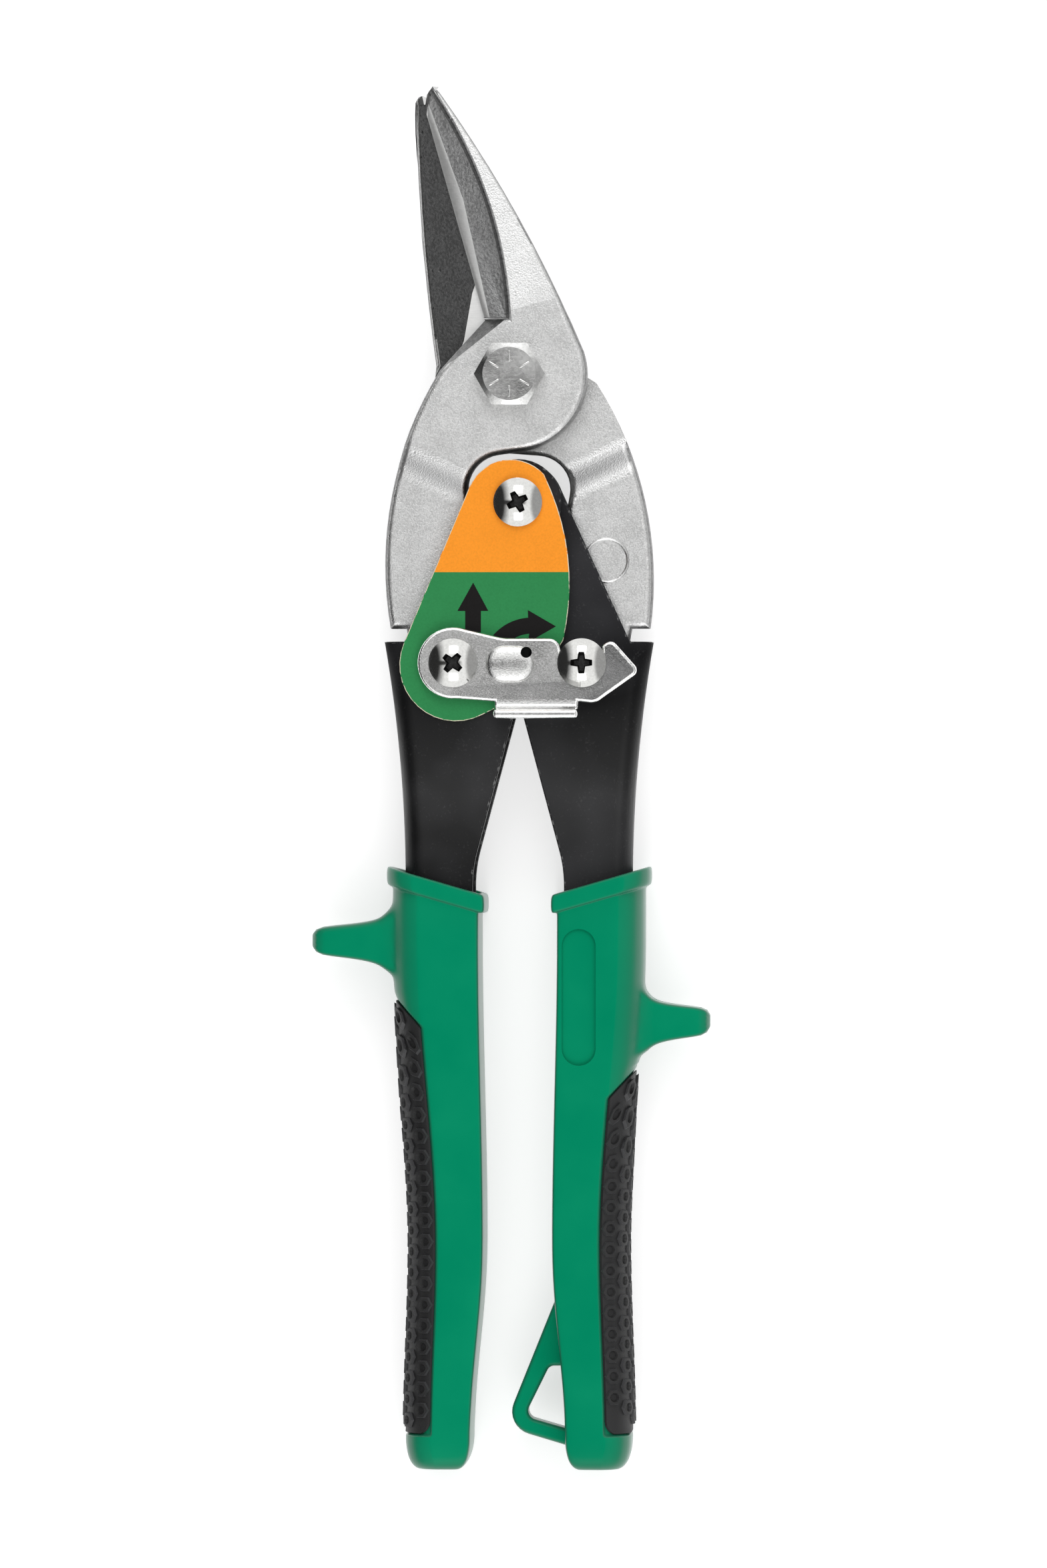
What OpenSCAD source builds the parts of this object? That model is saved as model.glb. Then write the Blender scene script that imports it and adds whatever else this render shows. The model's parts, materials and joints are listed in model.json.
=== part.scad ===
// Compound-action aviation snips, right cut, lying closed and latched.
// +Y points to the blade tips, +Z to the front, and the origin is under the middle of the tool.

/* [Overall] */
// Jaw pivot to the blade tips
blade_reach = 52.4; // [48:0.1:58]
// Jaw pivot to the ends of the grips
handle_reach = 197.6; // [190:0.1:215]
// Jaw pivot line to the tip of each thumb stop
thumb_reach = 35.5; // [33:0.1:40]
// Thickness of the grips from front to back
grip_depth = 19.2; // [18:0.1:24]
// How far the handles' centre line lies to the right of the jaw pivot
axis_shift = 1.5; // [0.5:0.1:2.5]

/* [Linkage] */
// Jaw pivot down to the handle pivot
handle_pivot_drop = 23.1; // [22.5:0.1:26]
// Jaw pivot down to the two tang pivots
tang_pivot_drop = 52.1; // [50:0.1:56]
// Distance between the two tang pivots when closed
tang_pivot_span = 23.2; // [22:0.1:26]

/* [Jaws] */
// Radius of each jaw round the pivot
jaw_disc_r = 13.9; // [13:0.1:14.1]
// Thickness of each jaw at the pivot
jaw_t = 5.2; // [4.5:0.1:6.5]
// Gap between the two shearing faces
shear_gap = 0.1; // [0.06:0.02:0.2]
// Thickness of each blade's rib at the tip
tip_t = 2.8; // [2:0.1:4]
// Thickness left at the cutting edges
edge_t = 0.9; // [0.6:0.1:1.6]
// Slope of the relieved face beside each cutting edge, in degrees
relief_slope = 14; // [8:1:18]
// Slope of the hollow on each shearing face, in degrees
hollow_slope = 11; // [6:1:14]
// Thickness of the tangs between the ears
tang_t = 5.6; // [4.6:0.1:6.4]
// Radius of each tang's eye
tang_eye_r = 7.5; // [6.5:0.1:8.5]
// Centre line out to the widest part of each tang
tang_bulge = 24.3; // [23:0.1:26]
// Radius of the long curve on the outside of each tang
tang_bow_r = 66.5; // [60:0.5:75]
// Jaw pivot down to the square shoulders of the tangs
tang_shoulder_drop = 45.8; // [44.5:0.1:46]
// Radius of the throat between disc and tang
throat_r = 6.3; // [5.8:0.1:6.5]
// Jaw pivot down to the middle of that throat
throat_drop = 20.6; // [20.4:0.1:21.2]
// Distance from the jaw pivot at which each tang starts to step to the middle
joggle_start = 19.8; // [19.4:0.1:20.2]
// Length of that step
joggle_length = 4.6; // [4:0.1:5]

/* [Jaw pivot] */
// Shank diameter of the pivot bolt
bolt_d = 6.35; // [5:0.05:8]
// Width across the flats of bolt head and nut
bolt_flats = 11.1; // [9:0.1:14]
// Height of the bolt head
bolt_head_h = 4.1; // [3:0.1:5.5]
// Thickness of the nut
bolt_nut_h = 3.5; // [2.5:0.1:5]
// Thickness of the washer under the nut
bolt_washer_t = 0.8; // [0.5:0.1:1.5]

/* [Handles] */
// Sheet thickness of the channels
sheet_t = 1.8; // [1.4:0.1:2.2]
// Radius of the ears round the handle pivot
ear_r = 7.8; // [7:0.1:8.2]
// Centre line out to the foot of each ear's outer edge
ear_foot_half = 20.1; // [18:0.1:20.3]
// Jaw pivot down to the tops of the channels
channel_top_drop = 48.2; // [48:0.1:49.5]
// Centre line out to each channel's outer edge at its top
channel_top_half = 24.3; // [23.5:0.1:26]
// Centre line out to each channel's outer edge at the collar
channel_low_half = 20.5; // [19.5:0.1:21.5]
// Centre line out to each channel's inner edge at the collar
channel_low_inner = 8.2; // [7.6:0.1:9]
// Outside radius of the rolled channel edges
bend_r = 3.8; // [3:0.1:4]
// Centre line out to the inner edge of the tail inside each grip
tail_inner = 9.6; // [9:0.1:10.5]
// Centre line out to the outer edge of the tail inside each grip
tail_outer = 17; // [15.5:0.1:17.4]
// Grip end up to the end of the tail
tail_margin = 14; // [10:0.5:40]

/* [Screws] */
// Shank diameter of the three pan head screws
screw_d = 4; // [3.5:0.1:4.4]
// Head diameter of the screws
head_d = 8.8; // [7.6:0.1:9.6]
// Head height of the screws
head_h = 2.6; // [2:0.1:3.4]
// Length of each arm of the cross recess
recess_arm = 1.8; // [1.2:0.1:2.4]
// Width of the arms of the cross recess
recess_w = 1; // [0.7:0.1:1.4]
// Depth of the cross recess
recess_depth = 1.5; // [0.8:0.1:1.8]
// Width across the flats of the screws' nuts
nut_flats = 7; // [6.5:0.1:9]
// Thickness of the screws' nuts
nut_h = 2.2; // [1.8:0.1:2.6]
// Outside diameter of the bearing bushes in the tangs
bush_d = 7.8; // [6.4:0.1:8.6]
// Outside diameter of the washers beside the left tang
tang_washer_d = 13.6; // [11:0.1:15]

/* [Label plate] */
// Thickness of the label plate
label_t = 0.6; // [0.4:0.1:1]
// Radius of the label's top
label_top_r = 8.1; // [7:0.1:9]
// Radius of the label's foot round the left pivot
label_foot_r = 10.2; // [8.5:0.1:11]
// Centre line out to the label's right-hand corner
label_corner_half = 8.2; // [6:0.1:8.6]

/* [Latch] */
// Sheet thickness of the latch
latch_t = 1.6; // [1.2:0.1:2]
// Radius of the latch round its pivot
latch_r = 6.5; // [5.5:0.1:7.5]
// Pivot to the point of the hook
latch_reach = 33.2; // [31.5:0.1:36]
// Height of the folded thumb tab above the latch
tab_h = 4.5; // [3:0.1:7]
// Width of the thumb tab
tab_w = 15.2; // [10:0.1:16]
// Height of the raised bump
bump_h = 1; // [0.6:0.1:1.4]
// Width of the raised bump
bump_w = 6.6; // [4:0.1:7.4]
// Length of the raised bump
bump_l = 8.8; // [7.6:0.1:10]
// Diameter of the small hole beside the bump
latch_hole_d = 2; // [1.5:0.1:2.6]

/* [Grips] */
// Jaw pivot down to the middle of the collars
collar_drop = 91.3; // [90:0.1:93]
// Height of the collar band
collar_h = 3.1; // [2:0.1:4]
// How far the collar stands proud of the grip
collar_lip = 1.2; // [0.4:0.1:1.5]
// Rise of the slanted collars across one millimetre of width
collar_slant = 0.29; // [0.2:0.01:0.36]
// Centre line out to the outside of each grip below the collar
grip_top_outer = 22.9; // [22.4:0.1:24.5]
// Centre line out to the outside of each grip at its waist
grip_waist_outer = 19.6; // [19.3:0.1:21]
// Centre line out to the outside of each grip at its end
grip_end_outer = 20.5; // [20:0.1:22]
// Centre line out to the inside of each grip below the collar
grip_top_inner = 7; // [5.5:0.1:7.1]
// Centre line out to the inside of each grip at its waist
grip_waist_inner = 6.1; // [5:0.1:7]
// Centre line out to the inside of each grip at its end
grip_end_inner = 8.5; // [7:0.1:9]
// Corner radius of the grips on the outside
grip_outer_r = 3.6; // [2.5:0.1:4.4]
// Corner radius of the grips on the inside
grip_inner_r = 1.8; // [1:0.1:2.6]
// Jaw pivot down to the left thumb stop
left_stop_drop = 102.1; // [101:0.1:105]
// Jaw pivot down to the right thumb stop
right_stop_drop = 116.6; // [108:0.1:118]
// Thickness of the thumb stops at their tips
stop_tip_t = 8; // [5:0.1:9]
// Thickness of the rubber pads
pad_t = 1.2; // [0.8:0.1:1.3]
// How far each pad wraps over the grip's front and back
pad_wrap = 4.8; // [4.5:0.1:6]
// Jaw pivot down to the top of the left pad
left_pad_drop = 115.5; // [112:0.5:125]
// Jaw pivot down to the top of the right pad
right_pad_drop = 128.5; // [126:0.5:140]
// Grip end up to the lower end of each pad
pad_end_margin = 6.8; // [6:0.1:15]
// Length of the shallow recess on the right grip
recess_l = 24.5; // [15:0.5:26]
// Width of that recess
recess_width = 6.2; // [4:0.1:8]
// Depth of that recess
recess_sink = 0.5; // [0.3:0.1:0.8]
// Jaw pivot down to the top of that recess
recess_drop = 100; // [99:0.5:102]

/* [Hang loop] */
// Width of the loop's strap
loop_strap = 3; // [2.5:0.1:4.5]
// Thickness of the loop from front to back
loop_t = 6; // [4:0.1:9]
// Grip end up to the top of the loop
loop_rise = 29.5; // [26:0.5:35]
// Grip end up to the far corner of the loop's hole
loop_foot = 10.2; // [9.8:0.1:12]
// Length of the loop's hole along the grip
loop_hole_l = 7.1; // [5:0.1:10]
// Centre line out to the loop's hole at its far corner
loop_far = 3.2; // [2.4:0.1:4]

/* [Return spring] */
// Wire diameter of the spring
wire_d = 1.2; // [0.8:0.1:1.4]
// Coil diameter at the middle of the wire
coil_d = 8.4; // [7.8:0.1:9]
// Whole turns between the two legs
coil_turns = 2; // [1:1:2]
// Length of the spring's legs
leg_length = 17; // [12:0.5:18]

/* [Fits] */
// Running clearance at pivots, on the radius
running_gap = 0.05; // [0.02:0.01:0.08]
// Clearance at the right tang's eye, on the radius
open_pivot_gap = 0.4; // [0.35:0.05:0.5]
// Side clearance beside tangs, ears and latch
side_gap = 0.2; // [0.12:0.02:0.3]
// Clearance of the handle tails and pads in the grips
seat_gap = 0.06; // [0.02:0.02:0.15]
// Thickness of the spring washer under the latch
spring_washer_t = 0.3; // [0.2:0.05:0.6]

/* [Hidden] */
$fn = 96;

// Pivots, seen from the jaw pivot
handle_pivot = [axis_shift, -handle_pivot_drop];
left_pivot = [axis_shift - tang_pivot_span / 2, -tang_pivot_drop];
right_pivot = [axis_shift + tang_pivot_span / 2, -tang_pivot_drop];

// Place of the jaw pivot in the tool's own frame
pivot_y = (handle_reach - blade_reach) / 2;
mid_z = grip_depth / 2;

// Levels in front of the middle plane, from the inside out
jaw_low = shear_gap / 2;
jaw_top = jaw_low + jaw_t;
right_cheek_in = tang_t / 2 + side_gap;
right_cheek_out = right_cheek_in + sheet_t;
left_cheek_in = right_cheek_out + side_gap;
left_cheek_out = left_cheek_in + sheet_t;
label_top = left_cheek_out + label_t;
latch_low = label_top + spring_washer_t;
latch_top = latch_low + latch_t;
head_seat = latch_top + side_gap / 2;

screw_r = screw_d / 2;
bolt_r = bolt_d / 2;
bush_r = bush_d / 2;
screw_hole_r = screw_r + running_gap;
hex_corner = 2 / sqrt(3);
steel = "#c9c9c7";
zinc = "#d9d9d9";
black = "#1d1d1e";
green = "#008a5c";
rubber = "#262728";

// Points of an arc about c, from angle a to angle b
function arc(c, r, a, b, n = 12) =
    [for (i = [0 : n]) let (w = mix(a, b, i / n)) c + r * [cos(w), sin(w)]];
// Points of a gentle curve from p to q that bulges by sag to the left of its direction
function bow(p, q, sag, n = 10) =
    let (d = q - p, side = [-d.y, d.x] / norm(d))
    [for (i = [0 : n]) p + d * i / n + side * 4 * sag * (i / n) * (1 - i / n)];
// Direction from p to q, in degrees
function heading(p, q) = atan2(q.y - p.y, q.x - p.x);
// Angle at which a line from p touches the circle c, on one side (1) or the other (-1)
function touch(c, r, p, side) = heading(c, p) + side * acos(r / norm(p - c));
function ease(t) = t <= 0 ? 0 : t >= 1 ? 1 : t * t * (3 - 2 * t);
function mix(a, b, t) = a + (b - a) * t;
function reversed(list) = [for (k = [len(list) - 1 : -1 : 0]) list[k]];

module in_tool() translate([0, pivot_y, mid_z]) children();
module at(p) translate([p.x, p.y, 0]) children();
module slab(low, high) translate([0, 0, low]) linear_extrude(high - low) children();
module ring(outer_r, inner_r, low, high) {
    slab(low, high) difference() {
        circle(outer_r);
        circle(inner_r);
    }
}
// Slot with round ends along X, from the middle of its first end
module obround(length, width) {
    for (x = [0, length - width]) translate([x, 0]) circle(width / 2);
    translate([0, -width / 2]) square([length - width, width]);
}

// Jaws: both have one pattern, with the tang to the left and the blade's outer edge to the right.
joggle_turn = 25.5;
blade_crease_y = 11.6;
blade_crease_turn = 14;
throat_half = 2.9;
tongue_inset = 3.9;
rib_tip_offset = [0.6, 0.4];
rib_root_offset = [4, 0.4];
rib_bow = 3;
hollow_tip_offset = [1, -2];
hollow_turn = 0.86;
hollow_inset = 4.2;
hollow_end_bow = 2;
far = 90;

// Blade pattern: disc angle where the outer edge leaves, its bulge, the tip's points from outside in,
// the inner end of the cutting edge, and the shoulder beside the tang
upper_blade = [18, 1.5, [[-12.9, -1.2], [-14, 0], [-15.3, -1.4], [-15.7, -3.8]], [-4.7, 10], [-12.6, 0.8]];
lower_blade = [8, 0.75, [[17.4, -2.6], [16.9, -1.8], [16, -1.6], [14.6, -2.4]], [3.2, 10.2], [-15.2, -1.3]];
upper_bulge_drop = 34.3;
lower_bulge_drop = 37;

function blade_tip(blade) = [for (p = blade[2]) [p.x, blade_reach + p.y]];

// Outside of the tang, from its shoulder by the disc to its square end
function tang_outer(axis, bulge_drop, shoulder) =
    let (c = [axis - tang_bulge + tang_bow_r, -bulge_drop],
        low = asin((bulge_drop - tang_shoulder_drop) / tang_bow_r),
        high = asin((shoulder.y + bulge_drop) / tang_bow_r))
    arc(c, tang_bow_r, 180 - high, 180 - low, 16);

// Tongue, eye and inside of the tang, up into the throat and on round the disc
function tang_inner(axis, root) =
    let (eye = [axis - tang_pivot_span / 2, -tang_pivot_drop],
        tongue = [axis - tang_bulge + tongue_inset, -tang_shoulder_drop],
        throat = [axis - throat_half, -throat_drop],
        inside = heading(eye, throat) - acos((tang_eye_r + throat_r) / norm(throat - eye)),
        outside = touch(eye, tang_eye_r, tongue, 1),
        rise = heading(throat, [0, 0]) + acos((jaw_disc_r + throat_r) / norm(throat)))
    concat([tongue], arc(eye, tang_eye_r, outside, inside + 360, 16),
        arc(throat, throat_r, inside + 180, rise, 10),
        arc([0, 0], jaw_disc_r, rise - 180, root, 24));

function jaw_outline(blade, axis, bulge_drop) =
    let (tip = blade_tip(blade), root = jaw_disc_r * [cos(blade[0]), sin(blade[0])])
    concat(tang_outer(axis, bulge_drop, blade[4]), tang_inner(axis, blade[0]),
        bow(root, tip[0], -blade[1]), tip, [blade[3]]);

// Edge of the raised rib, from the tip to the throat, in the jaw's own pattern
function rib_edge(blade) =
    bow(blade_tip(blade)[2] + rib_tip_offset, blade[3] + rib_root_offset, rib_bow, 12);

module jaw_thickness() {
    step_end = joggle_start + joggle_length;
    rotate([90, 0, -90 - joggle_turn]) linear_extrude(2 * far, center = true)
        polygon([[-far, jaw_low], [joggle_start, jaw_low], [step_end, -tang_t / 2], [far, -tang_t / 2],
            [far, tang_t / 2], [step_end, tang_t / 2], [joggle_start, jaw_top], [-far, jaw_top]]);
}

module blade_taper() {
    drop = atan((jaw_top - jaw_low - tip_t) / (blade_reach - blade_crease_y));
    translate([0, blade_crease_y, jaw_top]) rotate([0, 0, blade_crease_turn]) rotate([-drop, 0, 0])
        translate([-far / 2, 0, 0]) cube([far, far, jaw_t]);
}

// Sloping face between the rib and the cutting edge
module edge_relief(blade) {
    tip = blade_tip(blade);
    inner = blade[3];
    along = heading(inner, tip[3]) - 90;
    beside = [inner - [far, 0], [inner.x - far, blade_reach + jaw_t]];
    intersection() {
        slab(jaw_low, 2 * jaw_top) polygon(concat(rib_edge(blade), beside));
        translate([inner.x, inner.y, jaw_low + edge_t]) rotate([0, 0, along]) rotate([0, -relief_slope, 0])
            translate([-far, -far, 0]) cube([2 * far, 2 * far, 2 * jaw_t]);
    }
}

// Hollow on the shearing face, running out before the pivot
module shear_hollow(blade) {
    tip = blade_tip(blade);
    start = tip[3] + hollow_tip_offset;
    turn = mix(tip[3], blade[3], hollow_turn) + [hollow_inset, 0];
    end = jaw_disc_r * [cos(blade[0]), sin(blade[0])] + [far / 20, 0];
    along = heading(turn, start) - 90;
    beside = [start, start + [0, far], [far, far], [far, end.y]];
    intersection() {
        slab(-jaw_t, jaw_top) polygon(concat(bow(end, turn, -hollow_end_bow), beside));
        translate([turn.x, turn.y, jaw_low]) rotate([0, 0, along]) rotate([0, -hollow_slope, 0])
            translate([-far, -far, -2 * jaw_t]) cube([2 * far, 2 * far, 2 * jaw_t]);
    }
}

module jaw(blade, axis, bulge_drop, eye_gap) {
    difference() {
        intersection() {
            slab(-tang_t, jaw_top + tang_t) polygon(jaw_outline(blade, axis, bulge_drop));
            jaw_thickness();
        }
        blade_taper();
        edge_relief(blade);
        shear_hollow(blade);
        slab(-tang_t, 2 * jaw_top) circle(bolt_r + running_gap);
        at([axis - tang_pivot_span / 2, -tang_pivot_drop]) slab(-tang_t, tang_t) circle(bush_r + eye_gap);
    }
}

module upper_jaw() {
    color(steel) in_tool() jaw(upper_blade, axis_shift, upper_bulge_drop, running_gap);
}

module lower_jaw() {
    color(steel) in_tool() rotate([0, 180, 0])
        jaw(lower_blade, -axis_shift, lower_bulge_drop, open_pivot_gap);
}

// Jaw pivot
module hexagon(flats) circle(flats * hex_corner / 2, $fn = 6);

module jaw_pivot_bolt() {
    color(zinc) in_tool() {
        slab(jaw_top, jaw_top + bolt_head_h) hexagon(bolt_flats);
        slab(-mid_z + side_gap, jaw_top + side_gap) circle(bolt_r);
    }
}

module jaw_pivot_washer() {
    low = -jaw_top - bolt_washer_t;
    color(zinc) in_tool() ring(bolt_flats * hex_corner / 2, bolt_r + running_gap, low, -jaw_top);
}

module jaw_pivot_nut() {
    high = -jaw_top - bolt_washer_t;
    color(zinc) in_tool() slab(high - bolt_nut_h, high) difference() {
        hexagon(bolt_flats);
        circle(bolt_r + running_gap);
    }
}

// Handles: drawn for the right-hand side, u out from the centre line; the left one is the mirror image.
channel_low_drop = collar_drop + 5;
edge_straight_drop = channel_low_drop - 4;
flare = channel_top_half - channel_low_half;
flare_run = edge_straight_drop - channel_top_drop;
flare_r = (flare * flare + flare_run * flare_run) / (2 * flare);
flare_centre = [channel_low_half + flare_r, -edge_straight_drop];
inner_bend_r = 24;
flare_sweep = 60;
inner_lean = 15;
tail_overlap = 3;

module for_right() translate([axis_shift, 0, 0]) children();
module for_left() translate([axis_shift, 0, 0]) mirror([1, 0, 0]) children();

function channel_outline() =
    let (pin = [0, -handle_pivot_drop],
        foot = [ear_foot_half, -channel_top_drop],
        bend = [channel_low_inner - inner_bend_r, -edge_straight_drop],
        hip = bend + inner_bend_r * [cos(inner_lean), sin(inner_lean)],
        outside = touch(pin, ear_r, foot, 1),
        knee = [hip.x - (-channel_top_drop - hip.y) * tan(inner_lean), -channel_top_drop],
        inside = touch(pin, ear_r, knee, -1),
        top_angle = asin(flare_run / flare_r))
    concat(arc(pin, ear_r, outside, inside + 360, 20), [knee], arc(bend, inner_bend_r, inner_lean, 0, 6),
        [[channel_low_inner, -channel_low_drop], [channel_low_half, -channel_low_drop]],
        arc(flare_centre, flare_r, 180, 180 - top_angle, 14), [foot]);

// Sweeps a profile along the flared outer edge.
// The profile's first coordinate is the distance from the flare's centre.
module along_flare() {
    translate([flare_centre.x, flare_centre.y, 0]) rotate([0, 0, 180 - flare_sweep / 2])
        rotate_extrude(angle = flare_sweep) children();
}

// What the rolled outer edge takes off the square corner of a channel
module bend_corner(out_half) {
    low = out_half - bend_r;
    along_flare() difference() {
        translate([flare_r - bend_r, low]) square([2 * bend_r, 2 * bend_r]);
        translate([flare_r + bend_r, low]) circle(bend_r);
        translate([flare_r + bend_r, low - bend_r / 2]) square([2 * bend_r, 2 * bend_r]);
    }
}

// Room between the two cheeks of a channel
module channel_room(in_half) {
    inside_r = max(bend_r - sheet_t, running_gap);
    wall = flare_r + sheet_t;
    corner = [wall + inside_r, in_half - inside_r];
    along_flare() polygon(concat([[wall + far, -in_half]],
        arc([corner.x, -corner.y], inside_r, 270, 180, 6), arc(corner, inside_r, 180, 90, 6),
        [[wall + far, in_half]]));
}

module channel_solid(out_half) {
    difference() {
        slab(-out_half, out_half) polygon(channel_outline());
        bend_corner(out_half);
        mirror([0, 0, 1]) bend_corner(out_half);
    }
}

module tail_block(out_half, grow = 0) {
    low = -handle_reach + tail_margin - grow;
    top = -channel_low_drop + tail_overlap;
    width = tail_outer - tail_inner + 2 * grow;
    translate([tail_inner - grow, low, -out_half - grow]) cube([width, top - low, 2 * (out_half + grow)]);
}

module handle(in_half) {
    out_half = in_half + sheet_t;
    difference() {
        union() {
            channel_solid(out_half);
            tail_block(out_half);
        }
        channel_room(in_half);
        translate([tail_inner - sheet_t, -handle_reach, -in_half])
            cube([tail_outer - tail_inner, handle_reach - channel_low_drop + tail_overlap, 2 * in_half]);
        translate([0, -handle_pivot_drop, 0]) slab(-far, far) circle(screw_hole_r);
        translate([tang_pivot_span / 2, -tang_pivot_drop, 0]) slab(-far, far) circle(screw_hole_r);
    }
}

module left_handle() {
    color(black) in_tool() for_left() handle(left_cheek_in);
}

module right_handle() {
    color(black) in_tool() for_right() handle(right_cheek_in);
}

// Grips: rings of points along each grip, again with u out from the centre line
grip_length = handle_reach - collar_drop;
waist_start = 0.1;
waist = 0.62;
waist_end = 0.95;
slant_fade = 14;
grip_end_r = 4;
grip_end_in = 2;
stop_root_t = 12;
stop_edge = 0.2;
fine_step = 1;
fine_length = 34;
coarse_steps = 12;
corner_points = 4;
pad_edge_w = 0.15;
side_crown = 0.2;

// Shape of a thumb stop: how far down from its tip, and what share of its length it reaches there
stop_shape = [[-7.2, 0], [-4.8, 0.05], [-3.8, 0.17], [-3, 0.5], [-2.3, 0.84], [-1.5, 0.97], [0, 1],
    [1.5, 0.97], [2.1, 0.84], [3.3, 0.47], [4.2, 0.12], [6.6, 0]];

// A size at a distance below the collar, running from the top to the waist and on to the end
function along_grip(a, top, middle, end) =
    let (t = a / grip_length)
    t < waist ? mix(top, middle, ease((t - waist_start) / (waist - waist_start)))
    : mix(middle, end, ease((t - waist) / (waist_end - waist)));
function grip_outer(a) = along_grip(a, grip_top_outer, grip_waist_outer, grip_end_outer);
function grip_inner(a) = along_grip(a, grip_top_inner, grip_waist_inner, grip_end_inner);

// Distances below the collar at which the grip has a ring
function grip_rings(from, to) =
    let (fine_start = collar_h + collar_lip, coarse = (grip_length - grip_end_r - fine_length) / coarse_steps,
        all = concat([for (a = [fine_start : fine_step : fine_length]) a],
            [for (i = [1 : coarse_steps]) fine_length + i * coarse]))
    [for (a = all) if (a > from && a < to) a];

// One ring of points, at a distance a below the collar. It stands out by lip or is drawn in by inset,
// sink is the depth of the pad's seat, and tip and stop_drop are the reach and place of the thumb stop.
function ring_points(a, lip, sink, inset, tip, stop_drop) =
    let (slant = collar_slant * (1 - ease((a - collar_h) / slant_fade)),
        o = grip_outer(a) + lip - inset,
        i = grip_inner(a) - lip + inset,
        h = grip_depth / 2 - inset,
        middle = (grip_top_outer + grip_top_inner) / 2,
        stop_y = collar_drop + a - slant * (o - middle) - stop_drop,
        reach = lip > 0 ? 0 : lookup(stop_y, stop_shape) * (tip - o),
        edge = o - pad_wrap,
        crown = sink > 0 ? 0 : side_crown,
        ro = grip_outer_r - min(sink, grip_outer_r / 2),
        oc = [o - grip_outer_r, h - grip_outer_r],
        ic = [i + grip_inner_r, h - grip_inner_r],
        tip_half = min(stop_tip_t / 2, h - grip_outer_r - 2 * stop_edge),
        root_half = min(stop_root_t / 2, h - grip_outer_r - stop_edge),
        front = concat(arc(ic, grip_inner_r, 180, 90, corner_points),
            [[edge - pad_edge_w, h], [edge, h - sink]],
            arc(oc, ro, 90, 0, corner_points)),
        side = [[o - sink + crown / 2, root_half], [o - sink + crown + reach, tip_half]],
        half = concat(front, side),
        loop = concat(half, [for (p = reversed(half)) [p.x, -p.y]]))
    [for (p = loop) [p.x, -collar_drop - a + slant * (min(p.x, o) - middle), p.y]];

// Closed skin over a list of rings
module skin(rings) {
    n = len(rings[0]);
    m = len(rings);
    sides = [for (j = [0 : m - 2], k = [0 : n - 1]) let (q = (k + 1) % n)
        each [[j * n + k, (j + 1) * n + q, (j + 1) * n + k], [j * n + k, j * n + q, (j + 1) * n + q]]];
    half = n / 2;
    caps = [for (k = [0 : half - 2]) each [
        [k, n - 1 - k, k + 1], [k + 1, n - 1 - k, n - 2 - k],
        [(m - 1) * n + k, (m - 1) * n + k + 1, m * n - 1 - k],
        [(m - 1) * n + k + 1, m * n - 2 - k, m * n - 1 - k]]];
    polyhedron([for (r = rings) each r], concat(sides, caps));
}

module grip_skin(tip, stop_drop, pad_drop) {
    pad_from = pad_drop - collar_drop;
    pad_to = grip_length - pad_end_margin;
    ends = grip_length - grip_end_r;
    skin(concat(
        [for (a = [0, collar_h]) ring_points(a, collar_lip, 0, 0, tip, stop_drop)],
        [for (a = grip_rings(collar_h, pad_from)) ring_points(a, 0, 0, 0, tip, stop_drop)],
        [ring_points(pad_from, 0, 0, 0, tip, stop_drop)],
        [for (a = concat([pad_from + pad_edge_w], grip_rings(pad_from + 2 * pad_edge_w, pad_to - pad_edge_w),
            [pad_to - pad_edge_w])) ring_points(a, 0, pad_t, 0, tip, stop_drop)],
        [ring_points(pad_to, 0, 0, 0, tip, stop_drop)],
        [for (w = [30 : 30 : 90]) let (fall = grip_end_r * sin(w), draw = grip_end_in * (1 - cos(w)))
            ring_points(ends + fall, 0, 0, draw, tip, stop_drop)]));
}

// Loop of points round a pad's section: over the outside, then back along the seat
function pad_points(a) =
    let (o = grip_outer(a),
        h = grip_depth / 2,
        edge = o - pad_wrap + seat_gap,
        oc = [o - grip_outer_r, h - grip_outer_r],
        front = function (sink)
            concat([[edge, h - sink]], arc(oc, grip_outer_r - sink, 90, 0, corner_points)),
        path = function (sink) concat(front(sink), [for (p = reversed(front(sink))) [p.x, -p.y]]),
        loop = concat(path(0), reversed(path(pad_t - seat_gap))))
    [for (p = loop) [p.x, -collar_drop - a, p.y]];

module pad(pad_drop) {
    from = pad_drop - collar_drop + pad_edge_w + seat_gap;
    to = grip_length - pad_end_margin - pad_edge_w - seat_gap;
    skin([for (a = concat([from], grip_rings(from + pad_edge_w, to - pad_edge_w), [to])) pad_points(a)]);
}

// Room inside a grip for the foot of the channel and for its tail
module grip_pocket(out_half) {
    half = out_half + seat_gap;
    translate([channel_low_inner - seat_gap, -channel_low_drop - seat_gap, -half])
        cube([channel_low_half - channel_low_inner + 3 * seat_gap, collar_drop, 2 * half]);
    tail_block(out_half, seat_gap);
}

module left_grip() {
    color(green) in_tool() for_left() difference() {
        grip_skin(thumb_reach + axis_shift, left_stop_drop, left_pad_drop);
        grip_pocket(left_cheek_out);
    }
}

module left_grip_pad() {
    color(rubber) in_tool() for_left() pad(left_pad_drop);
}

module right_grip_pad() {
    color(rubber) in_tool() for_right() pad(right_pad_drop);
}

// Hang loop: a rounded triangle of strap on the inside of the right grip
loop_round = 1.2;
loop_slope = 0.3;
loop_lean = 0.45;

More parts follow.
